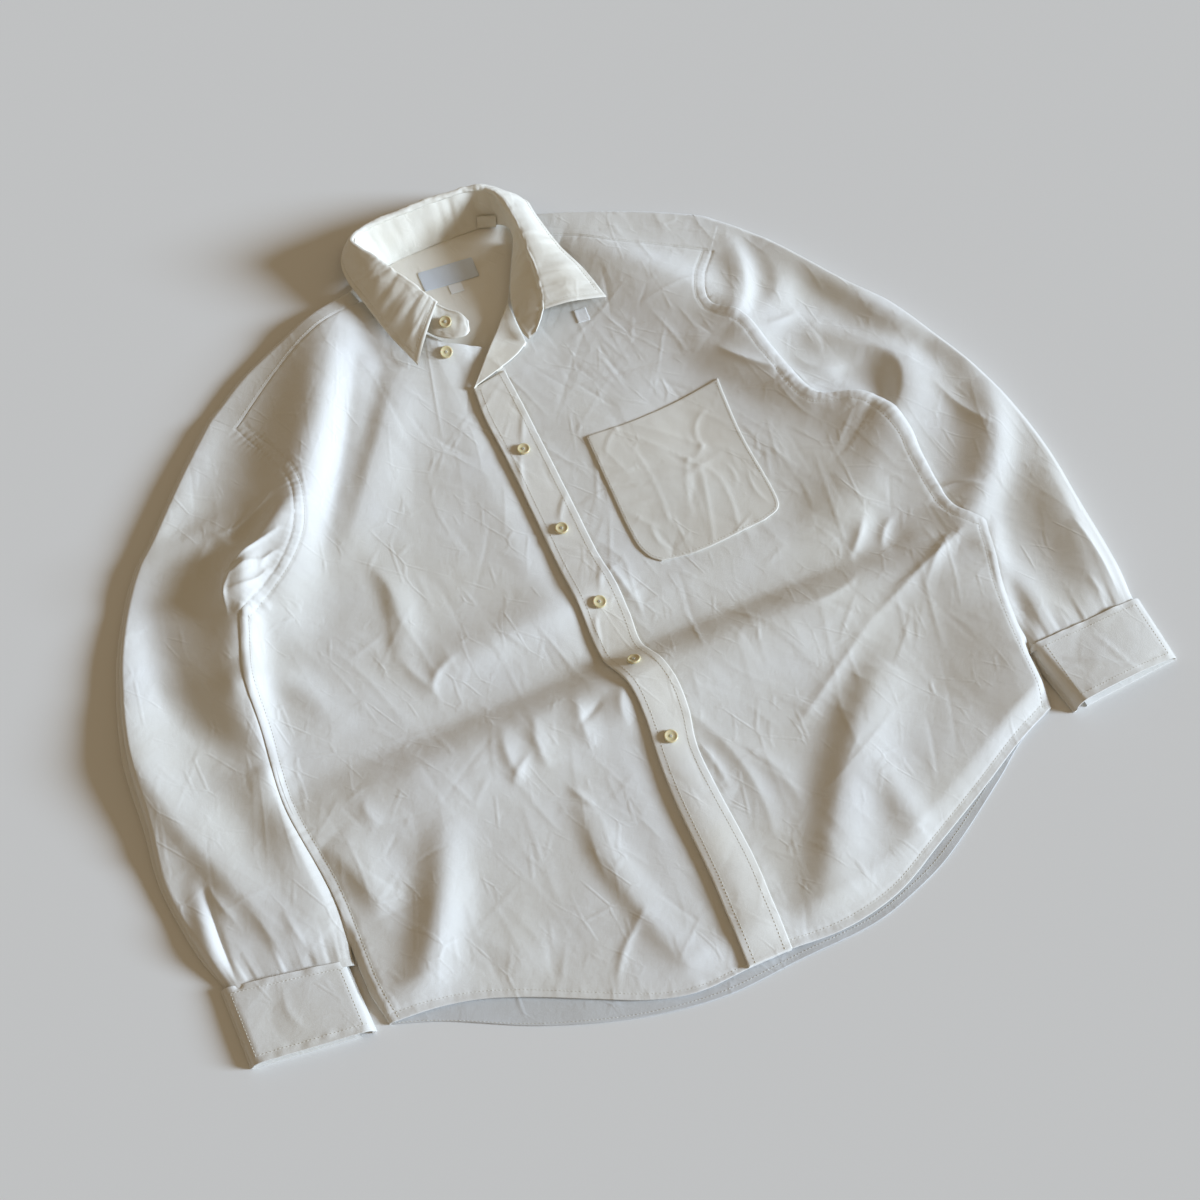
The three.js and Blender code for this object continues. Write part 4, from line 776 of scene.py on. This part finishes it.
def cuff(corners, seed):
    """A cuff's flat tube, puckered near its seam and near its mouth."""
    plan_at = between(straight(corners["seamInner"], corners["mouthInner"]),
                      straight(corners["seamOuter"], corners["mouthOuter"]))
    u, v = cells(70, 0.5), cells(46, 0.4)
    plan = plan_at(u, v)
    x, y = plan[..., 0], plan[..., 1]
    edge = np.minimum(u, 1 - u)[None] * span(plan[:, :1], plan[:, -1:])
    height = corners["inner"] + (corners["outer"] - corners["inner"]) * u[None]
    height = height + corners["mouthRise"] * v[:, None] * np.sin(np.pi * u)[None]
    pucker = 0.5 * drift(x, y, 7, seed) * np.exp(-(((1 - v[:, None]) * CUFF_LENGTH - 5) / 5) ** 2)
    pucker = pucker + 0.6 * drift(x, y, 8, seed + 1) * np.exp(-(v[:, None] * CUFF_LENGTH / 7) ** 2)
    pucker = pucker + 0.7 * facets(x, y, 24, seed + 2, 0.5) + relief(CREASES, x, y, 1.35)
    z = CUFF_Z + COLLAR_WALL + (height + pucker) * round_edge(edge, CUFF_ROUND)
    return tube(raised(plan, z), 1.6, 1.6)


right_cuff = cuff(RIGHT_CUFF, 81)
left_cuff = cuff(LEFT_CUFF, 91)


def lining(grid, inset):
    """The inside of a tube's mouth, from its last row."""
    mouth = grid[-1]
    middle = mouth.mean(0)
    inward = grid[0].mean(0) - middle
    inward[2] = 0
    inward /= np.linalg.norm(inward)
    shrunk = middle + (mouth - middle) * (1 - 2 * inset / np.ptp(mouth[:, 0]))
    share = max(0.1, 1 - 2 * inset / np.ptp(mouth[:, 2]))
    shrunk[:, 2] = middle[2] + (mouth[:, 2] - middle[2]) * share
    sinking = np.array([1, 1, 0.85])
    deeper = (shrunk + inward * 12) * sinking
    return np.stack([mouth, (mouth + shrunk) / 2 - inward * 0.4, shrunk, deeper,
                     (deeper + inward * 16) * sinking])


# ------------------------------------------------------------------ collar
def wall(grid, thick, crease, soft=1.1):
    """A closed wall about a grid of middle points, thinning to its rounded edges."""
    along, across = np.gradient(grid, axis=0), np.gradient(grid, axis=1)
    normal = np.cross(along, across)
    normal /= np.maximum(np.linalg.norm(normal, axis=-1, keepdims=True), TINY)
    steps_v = np.linalg.norm(np.diff(grid, axis=0), axis=-1).mean(1)
    steps_u = np.linalg.norm(np.diff(grid, axis=1), axis=-1)
    s_v = np.concatenate([[0], np.cumsum(steps_v)])[:, None]
    s_u = np.concatenate([np.zeros((len(grid), 1)), np.cumsum(steps_u, 1)], 1)
    edge = np.minimum(np.minimum(s_v, s_v[-1] - s_v), np.minimum(s_u, s_u[:, -1:] - s_u))
    half = (thick / 2 * round_edge(edge, soft))[..., None] * normal
    crease = crease * smooth(edge / 2.5) - 0.3 * np.exp(-((edge - 5) / 1.5) ** 2)
    middle = grid + crease[..., None] * normal
    return [np.concatenate([middle - half, (middle + half)[:, -2:0:-1]], 1)]


stand_line, leaf_line = curve(STAND), curve(LEAF)


def stand_point(t, up):
    """The stand, from its seam (up = 0) to the line on which the leaf rolls (up = 1)."""
    at = stand_line(t)[:, None]
    return at[..., :3] + (at[..., 3:] - at[..., :3]) * up[None, :, None]


def leaf_point(t, down):
    """The leaf, from its roll over the stand (down = 0) to its edge (down = 1)."""
    at = leaf_line(t)[:, None]
    d = down[None, :, None]
    points = at[..., :3] + (at[..., 3:] - at[..., :3]) * np.maximum(d, 0)
    points[..., 2] += ROLL_LIFT + LEAF_BULGE * np.sin(np.pi * np.maximum(down, 0))[None]
    inward = at[..., :2] - at[..., 3:5]
    inward /= np.linalg.norm(inward, axis=-1, keepdims=True)
    over = np.clip(-down, 0, 1)[None]
    points[..., :2] += inward * (3.2 * np.sin(over * np.pi / 2))[..., None]
    points[..., 2] -= 5 * over ** 2.5
    wave = 0.8 * drift(points[..., 0], points[..., 1], 34, 101) + 0.5 * facets(
        points[..., 0], points[..., 1], 17, 103, 0.6)
    points[..., 2] += wave * np.clip(down * 3, 0, 1)[None]
    return points


t = cells(260, 0.2)
stand_up = cells(16, 0.6)
stand_grid = stand_point(t, stand_up)
stand_wave = 0.35 * facets(stand_grid[..., 0], stand_grid[..., 1] + stand_grid[..., 2], 16, 111)
stand_grid[..., 2] += stand_wave
lip = shares(8)[:-1] - 1
leaf_down = np.concatenate([lip * 0.9, cells(44, 0.4)])
leaf_grid = leaf_point(t, leaf_down)


def puckers(t, across, length, seed):
    """Creases that run across a collar piece, uneven in spacing, and its broader waves."""
    along, up = (t * length)[:, None] + 0 * across[None], across[None] + 0 * t[:, None]
    lean = along + 5 * drift(along, 60 * up, 25, seed + 4)
    fine = 0.3 * drift(lean, 9 * up, 5, seed) + 0.5 * drift(lean, 14 * up, 11, seed + 1)
    return fine + 0.5 * facets(along, 40 * up, 15, seed + 2, 0.5)


stand_crease = 1.6 * puckers(t, stand_up, 450, 131)
leaf_crease = puckers(t, leaf_down, 620, 141)


# ------------------------------------------------------------------ materials
def new_material(name):
    """A material, a function that adds a node to it, and one that fills in its main shader."""
    material = bpy.data.materials.new(name)
    material.use_nodes = True
    tree = material.node_tree

    def fill(node, values):
        """Sets a node's inputs: a socket is linked to, anything else is a constant."""
        for key, value in values.items():
            if isinstance(value, bpy.types.NodeSocket):
                tree.links.new(value, node.inputs[key])
            else:
                node.inputs[key].default_value = value
        return node

    def add(kind, output, values, **attributes):
        node = tree.nodes.new("ShaderNode" + kind)
        for key, value in attributes.items():
            setattr(node, key, value)
        return fill(node, values).outputs[output]

    return material, add, lambda values: fill(tree.nodes["Principled BSDF"], values)


def tint(add, share, colour, warm):
    """A mix of two colours."""
    ends = {"A": (*colour, 1), "B": (*warm, 1), "Factor": share}
    return add("Mix", "Result", ends, data_type="RGBA")


def cotton(name, colour, warm, crinkle=1.0, sheen=0.35, rough=0.72, weave=0.00042):
    """Plain woven cotton: weave, fine crinkles and slight differences of colour."""
    material, add, fill_shader = new_material(name)
    place = add("TexCoord", "Object", {})

    def noise(scale, detail, roughness=0.5, distortion=0.0):
        return add("TexNoise", "Fac", {"Scale": scale, "Detail": detail, "Vector": place,
                                       "Roughness": roughness, "Distortion": distortion})

    def reckon(operation, a, b):
        return add("Math", 0, {0: a, 1: b}, operation=operation)

    def threads(direction):
        waves = {"Scale": 0.314 / weave, "Distortion": 0.6, "Detail": 1, "Detail Scale": 2,
                 "Vector": place}
        return add("TexWave", "Fac", waves, bands_direction=direction)

    def creases(size, turn):
        """Sharp fine creases round long facets of about the given size in metres."""
        stretch = {"Rotation": (0, 0, turn), "Scale": (size, 2.2 * size, size), "Vector": place}
        turned = add("Mapping", "Vector", stretch, vector_type="TEXTURE")
        edge = add("TexVoronoi", "Distance", {"Scale": 1, "Vector": turned},
                   feature="DISTANCE_TO_EDGE")
        line = {"Value": edge, "From Max": 0.07, "To Min": 1, "To Max": 0}
        return add("MapRange", "Result", line, interpolation_type="SMOOTHSTEP")

    crushed = reckon("ADD", reckon("MULTIPLY", noise(330, 3, 0.6, 0.4), 0.25),
                     noise(85, 4, 0.55, 0.8))
    patches = add("MapRange", "Result", {"Value": noise(34, 2), "From Min": 0.48,
                                         "From Max": 0.66, "To Max": 0.7})
    for size, turn in ((0.034, -0.2), (0.021, 0.5)):
        crushed = reckon("ADD", crushed, reckon("MULTIPLY", creases(size, turn), patches))
    bump = add("Bump", "Normal", {"Strength": 0.35 * crinkle, "Distance": 0.0007,
                                  "Height": crushed})
    woven = add("Bump", "Normal", {"Strength": 0.25, "Distance": 0.00015, "Normal": bump,
                                   "Height": reckon("ADD", threads("X"), threads("Y"))})
    spread = add("MapRange", "Result", {"Value": noise(7, 3, 0.6), "From Min": 0.35,
                                        "From Max": 0.7})
    fill_shader({"Roughness": rough, "Sheen Weight": sheen, "Sheen Roughness": 0.45,
                 "Specular IOR Level": 0.35, "Base Color": tint(add, spread, colour, warm),
                 "Normal": woven})
    return material


def plastic(name, colour, warm, rough=0.3):
    """Cast shirt-button plastic: slightly uneven colour under a soft gloss."""
    material, add, fill_shader = new_material(name)
    cloud = add("TexNoise", "Fac", {"Scale": 260, "Detail": 3,
                                    "Vector": add("TexCoord", "Object", {})})
    fill_shader({"Roughness": rough, "Subsurface Weight": 0.15, "Subsurface Scale": 0.002,
                 "Base Color": tint(add, cloud, colour, warm)})
    return material


shirting = cotton("shirting", (0.72, 0.70, 0.66), (0.70, 0.67, 0.60))
# The back's cloth: the shirt's cotton made darker and greyer, painted shade for the shadow that the
# back lies in under the fronts.
inside = cotton("shirting_inside_painted_shade", (0.60, 0.60, 0.59), (0.57, 0.56, 0.53))
# The placket's cloth: the shirt's cotton made lighter, painted light for the placket's slopes that
# face the lamp.
trim_painted_light = cotton("trim_cloth", (0.78, 0.76, 0.71), (0.75, 0.71, 0.62), 0.8, 0.2, 0.8)
# The pocket's cloth: the shirt's cotton made darker and warmer, painted shade.
pocket_cloth_painted_shade = cotton("pocket_cloth_painted_shade", (0.71, 0.68, 0.61), (0.68, 0.63, 0.54), 0.8, 0.2, 0.8)
# The open neck's inner yoke: the shirt's cotton made lighter, painted light that lifts the shade
# under the collar.
neck_lining_painted_light = cotton("neck_lining_painted_light", (0.84, 0.80, 0.72), (0.80, 0.75, 0.65), 0.8, 0.2, 0.8)
# The collar's cloth, also on the placket's turned top and the hanger loop: the shirt's cotton made
# lighter, painted light that lifts the collar's shaded sides.
collar_cloth = cotton("collar_cloth", (0.79, 0.76, 0.68), (0.75, 0.69, 0.57), 0.8, 0.2, 0.75)
thread = cotton("sewing_thread", (0.74, 0.71, 0.63), (0.68, 0.64, 0.54), 0.1, 0.2, 0.6, 0.0002)
satin = cotton("label_satin", (0.62, 0.66, 0.72), (0.68, 0.71, 0.75), 0.25, 0.2, 0.45, 0.0003)
tape = cotton("tag_tape", (0.86, 0.86, 0.85), (0.82, 0.82, 0.80), 0.3, 0.2, 0.6, 0.0003)
ivory = plastic("button_ivory", (0.70, 0.62, 0.38), (0.60, 0.50, 0.27))

# ------------------------------------------------------------------ the cloth pieces
front_right = cloth("front_right_cloth", [rim(right_front, EDGE, sides="udr")], shirting,
                    ["front_right"])
front_left = cloth("front_left_cloth", [rim(left_front, EDGE, sides="udr")], shirting,
                   ["front_left"])
placket_piece = cloth("placket_cloth", [rim(placket, 0.7)], trim_painted_light, ["placket"])
turned_piece = cloth("placket_turned_cloth", [rim(turned, 0.8)], collar_cloth,
                     ["placket_turned_top"])
pocket_piece = cloth("pocket_cloth_painted_shade", [rim(pocket, 0.7)], pocket_cloth_painted_shade,
                     ["chest_pocket"])
# The back's darker, greyer cloth is painted shade.
back_piece = cloth("back_cloth", [rim(back, 0.55)], inside, ["back"])
yoke_piece = cloth("yoke_cloth", [right_strip, left_strip, rim(neck_floor, 0.3)],
                   shirting, ["yoke"])
# The open neck's floor gets that lighter cloth, which is painted light.
yoke_piece.data.materials.append(neck_lining_painted_light)
strip_faces = sum((len(s) - 1) * (len(s[0]) - 1) for s in (right_strip, left_strip))
for face in yoke_piece.data.polygons[strip_faces:]:
    face.material_index = 1
sleeve_right = cloth("sleeve_right_cloth", [right_sleeve], shirting, ["sleeve_right"])
sleeve_left = cloth("sleeve_left_cloth", [left_sleeve], shirting, ["sleeve_left"])
cuff_right = cloth("cuff_right_cloth", [right_cuff, lining(right_cuff, 1.6)], shirting,
                   ["cuff_right"])
cuff_left = cloth("cuff_left_cloth", [left_cuff, lining(left_cuff, 1.6)], shirting,
                  ["cuff_left"])
stand_piece = cloth("collar_stand_cloth", wall(stand_grid, COLLAR_WALL, stand_crease),
                    collar_cloth, ["collar_stand"], loop=True)
leaf_piece = cloth("collar_leaf_cloth", wall(leaf_grid, COLLAR_WALL, leaf_crease),
                   collar_cloth, ["collar_leaf"], loop=True)


# ------------------------------------------------------------------ buttons, label, tag, tab, loop
def surface_of(piece):
    mesh = piece.data
    vertices = [v.co for v in mesh.vertices]
    return BVHTree.FromPolygons(vertices, [p.vertices[:] for p in mesh.polygons])


def look_down(tree, x, y):
    """Where a line straight down meets a surface, and its normal there, or None for both."""
    return tree.ray_cast(Vector((x * MM, y * MM, SKY)), Vector((0, 0, -1)))[:2]


def node_frame(name):
    """Middle of a small CAD node in millimetres, and its axes, the thinnest last."""
    points = np.array([v.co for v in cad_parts[name].data.vertices]) / MM
    middle = (points.max(0) + points.min(0)) / 2
    _, _, axes = np.linalg.svd(points - points.mean(0))
    if axes[2, 2] < 0:
        axes[2] *= -1
    axes[0] = np.cross(axes[1], axes[2])
    return middle, axes


BUTTON_PROFILE = table("r z", [[0, 0.55], [1.9, 0.55], [3.0, 0.62], [4.0, 0.95], [4.5, 1.2],
  [5.0, 1.28], [5.45, 1.1], [5.72, 0.6], [5.75, 0.1], [5.6, -0.6], [5.1, -1.1], [0, -1.15]])


def seated(middle, tree):
    """The place and the axes of a button on the cloth under it."""
    around = [middle[:2]] + [middle[:2] + 5 * np.array([math.cos(a), math.sin(a)])
                             for a in np.linspace(0, 2 * np.pi, 12, endpoint=False)]
    hits = [look_down(tree, x, y)[0] for x, y in around]
    points = np.array([hit for hit in hits if hit is not None]) / MM
    _, _, axes = np.linalg.svd(points - points.mean(0))
    axes[2] *= np.sign(axes[2, 2])
    axes[0] = np.cross(axes[1], axes[2])
    over = ((points - points.mean(0)) @ axes[2]).max()
    drop = (middle[:2] - points.mean(0)[:2]) @ axes[2, :2] / axes[2, 2]
    foot = np.array([*middle[:2], points.mean(0)[2] - drop])
    return foot + axes[2] * (0.6 * over + BUTTON_SEAT), axes


def button(name, tree):
    """A button with a raised rim, and the thread that crosses its middle."""
    middle, axes = node_frame(name)
    if tree:
        middle, axes = seated(middle, tree)
    around = np.linspace(0, 2 * np.pi, 40, endpoint=False)
    r, z = BUTTON_PROFILE["r"][:, None], BUTTON_PROFILE["z"][:, None]
    local = np.stack([r * np.cos(around), r * np.sin(around), z + 0 * around], -1)
    faces = grid_faces(len(r), len(around), 0, True)[:, ::-1]
    build(name + "_turned", (middle + local @ axes).reshape(-1, 3), faces, ivory, [name])
    stitches = []
    q = shares(6)[:, None]
    for turn in (0.6, 0.6 + math.pi / 2):
        c, s = math.cos(turn), math.sin(turn)
        for side in (-THREAD_GAP, THREAD_GAP):
            start, end = (np.array([c * HOLE_RING * e - s * side, s * HOLE_RING * e + c * side])
                          for e in (-1, 1))
            path = np.concatenate([start + (end - start) * q,
                                   0.62 + 0.32 * np.sin(math.pi * q)], 1)
            stitches.append(middle + path @ axes)
    bead_cluster(name + "_thread", stitches, 0.27)


def bead_cluster(name, paths, radius):
    """Short lengths of thread, each a tapered six-sided tube along its path."""
    vertices, faces, start = [], [], 0
    around = np.linspace(0, 2 * np.pi, 6, endpoint=False)
    for path in paths:
        along = np.gradient(path, axis=0)
        along /= np.maximum(np.linalg.norm(along, axis=1, keepdims=True), TINY)
        side = np.cross(along, (0, 0, 1.0))
        side /= np.maximum(np.linalg.norm(side, axis=1, keepdims=True), TINY)
        up = np.cross(side, along)
        taper = radius * np.sqrt(np.sin(np.pi * (0.04 + 0.92 * shares(len(path) - 1))))
        ring = (np.cos(around)[None, :, None] * side[:, None]
                + np.sin(around)[None, :, None] * up[:, None])
        vertices.append((path[:, None] + taper[:, None, None] * ring).reshape(-1, 3))
        faces.append(grid_faces(len(path), 6, start, True)[:, ::-1])
        start += len(path) * 6
    return build(name, np.concatenate(vertices), np.concatenate(faces), thread)


placket_tree, right_tree = surface_of(placket_piece), surface_of(front_right)
left_tree, yoke_tree = surface_of(front_left), surface_of(yoke_piece)
for name in ["button_1", "button_2", "button_3", "button_4", "button_5"]:
    button(name, placket_tree)
button("button_top", right_tree)
button("button_stand", None)


def woven_patch(node, material, tree=None):
    """A small woven piece on its node's place, or on the cloth under it, with a slight wave."""
    middle, axes = node_frame(node)
    points = (np.array([v.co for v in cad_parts[node].data.vertices]) / MM - middle) @ axes.T
    half = np.abs(points).max(0)
    u, w = np.meshgrid(2 * shares(28) - 1, 2 * shares(14) - 1)
    corner = 1 - 0.02 * (np.abs(u) * np.abs(w)) ** 8
    a, b = u * half[0], w * half[1]
    wave = 0.5 * drift(a, b, 14, 121) + 0.15 * drift(a, b, 4, 123)
    local = np.stack([a * corner, b * corner, half[2] - 0.35 + np.abs(wave)], -1)
    points = middle + local @ axes
    if tree:
        for point in points.reshape(-1, 3):
            point[2] = look_down(tree, point[0], point[1])[0][2] / MM + PATCH_LIFT
        points[..., 2] += 0.4 * np.abs(wave)
    cloth(node + "_woven", [rim(points, 0.25, 0.6)], material, [node])


woven_patch("neck_label", satin, yoke_tree)
woven_patch("size_tag", tape, yoke_tree)
woven_patch("stay_tab", tape, left_tree)
woven_patch("hanger_loop", collar_cloth)


# ------------------------------------------------------------------ stitching
def topstitch(name, tree, lines):
    """Stitches along plan lines, seated on the surface under them."""
    paths = []
    for line in lines:
        lengths = np.concatenate([[0], np.cumsum(np.linalg.norm(np.diff(line, axis=0), axis=1))])
        for start in np.arange(0, lengths[-1] - STITCH_PITCH, STITCH_PITCH):
            s = start + shares(4) * STITCH_LENGTH
            flat = np.stack([np.interp(s, lengths, line[:, k]) for k in (0, 1)], -1)
            path = []
            for (x, y), rise in zip(flat, (-0.15, 0.12, 0.2, 0.12, -0.15)):
                hit, normal = look_down(tree, x, y)
                if hit is None:
                    break
                path.append(np.array(hit) / MM + rise * np.array(normal))
            if len(path) == 5 and np.ptp([p[2] for p in path]) < 2:
                paths.append(np.array(path))
    return bead_cluster(name, paths, STITCH_RADIUS)


def seam(rows, by):
    return line_of(rows, by, 160)


def leaf_seam(t, down):
    return leaf_point(t, down).reshape(-1, 3)[:, :2]


def rows_of(ends):
    return [straight(*pair)(shares(160)) for pair in ends]


pocket_edge = np.concatenate([curve(rows)(shares(160))[::way] for rows, way in (
    (POCKET_LEFT, -1), (POCKET_BOTTOM, 1), (POCKET_RIGHT, 1))])
pocket_edge = np.delete(pocket_edge, (161, 322), 0)      # corners that two of its sides share
leaf_end = shares(30) * 0.86 + 0.04
stitched = [
    topstitch("stitching_front_right", right_tree, [
        seam(RIGHT_FRONT_HEM, HEM_WIDTH), seam(RIGHT_ARMHOLE, -ARMHOLE_STITCH),
        seam(RIGHT_SIDE, -7)]),
    topstitch("stitching_front_left", left_tree, [
        seam(LEFT_FRONT_HEM, HEM_WIDTH), seam(LEFT_ARMHOLE, ARMHOLE_STITCH),
        seam(LEFT_SIDE, 7)]),
    topstitch("stitching_placket", placket_tree, [seam(PLACKET_FREE, -5), seam(PLACKET_SEWN, 5)]),
    topstitch("stitching_pocket", surface_of(pocket_piece), [offset(pocket_edge, 1.8)]),
    topstitch("stitching_yoke", yoke_tree, [
        seam(RIGHT_YOKE_SEAM, 2.2), seam(LEFT_YOKE_EDGE, 2.2)]),
    topstitch("stitching_back", surface_of(back_piece), [seam(BACK_HEM, HEM_WIDTH)]),
    topstitch("stitching_leaf", surface_of(leaf_piece), [
        leaf_seam(shares(200) * 0.975 + 0.0125, np.array([0.9])),
        leaf_seam(np.array([0.0125]), leaf_end), leaf_seam(np.array([0.9875]), leaf_end)]),
    topstitch("stitching_cuff_right", surface_of(cuff_right), rows_of([
        ((-306, -257), (-393, -243.5)), ((-306, -209.5), (-392, -190.5)),
        ((-309, -209), (-310, -258)), ((-389.5, -191), (-390, -245))])),
    topstitch("stitching_cuff_left", surface_of(cuff_left), rows_of([
        ((308, -259.5), (402, -255)), ((307, -208.5), (404, -205)),
        ((310, -208), (311, -260)), ((401, -205), (399, -256))])),
]

# ------------------------------------------------------------------ floor, light and camera
floor_mesh = bpy.data.meshes.new("floor")
floor_mesh.from_pydata([(-6, -6, 0), (6, -6, 0), (6, 6, 0), (-6, 6, 0)], [], [(0, 1, 2, 3)])
floor = bpy.data.objects.new("floor", floor_mesh)
floor_material, _, fill_shader = new_material("floor_grey")
fill_shader({"Base Color": (0.755, 0.735, 0.70, 1), "Roughness": 0.9})
floor_mesh.materials.append(floor_material)
bpy.context.scene.collection.objects.link(floor)


def sun(name, azimuth, elevation, energy, softness, colour):
    """A far lamp; its azimuth counts from +X towards +Y, in degrees."""
    data = bpy.data.lights.new(name, "SUN")
    data.energy = energy
    data.angle = math.radians(softness)
    data.color = colour
    a, e = math.radians(azimuth), math.radians(elevation)
    towards = Vector((math.cos(a) * math.cos(e), math.sin(a) * math.cos(e), math.sin(e)))
    light = bpy.data.objects.new(name, data)
    light.rotation_euler = (-towards).to_track_quat("-Z", "Y").to_euler()
    light.location = towards * 3
    bpy.context.scene.collection.objects.link(light)


# The key comes low from the wearer's left, which is the right of the picture.
sun("key", -28, 18.5, 6.0, 18, (0.65, 0.80, 1.0))
world = bpy.data.worlds.new("world")
world.use_nodes = True
world.node_tree.nodes["Background"].inputs["Color"].default_value = (1.0, 0.795, 0.53, 1)
world.node_tree.nodes["Background"].inputs["Strength"].default_value = 0.30
bpy.context.scene.world = world

bpy.context.scene.view_settings.view_transform = "Standard"
CAMERA = {"azimuth": -26, "elevation": 60, "distance": 1.7015,
          "look_at": (0.0075, -0.0036, 0), "lens": 61.5}
a, e = math.radians(CAMERA["azimuth"]), math.radians(CAMERA["elevation"])
away = Vector((math.sin(a) * math.cos(e), -math.cos(a) * math.cos(e), math.sin(e)))
camera = bpy.data.objects.new("camera", bpy.data.cameras.new("camera"))
camera.data.lens = CAMERA["lens"]
camera.data.sensor_width = 36
camera.location = Vector(CAMERA["look_at"]) + away * CAMERA["distance"]
camera.rotation_euler = (-away).to_track_quat("-Z", "Y").to_euler()
bpy.context.scene.collection.objects.link(camera)
bpy.context.scene.camera = camera
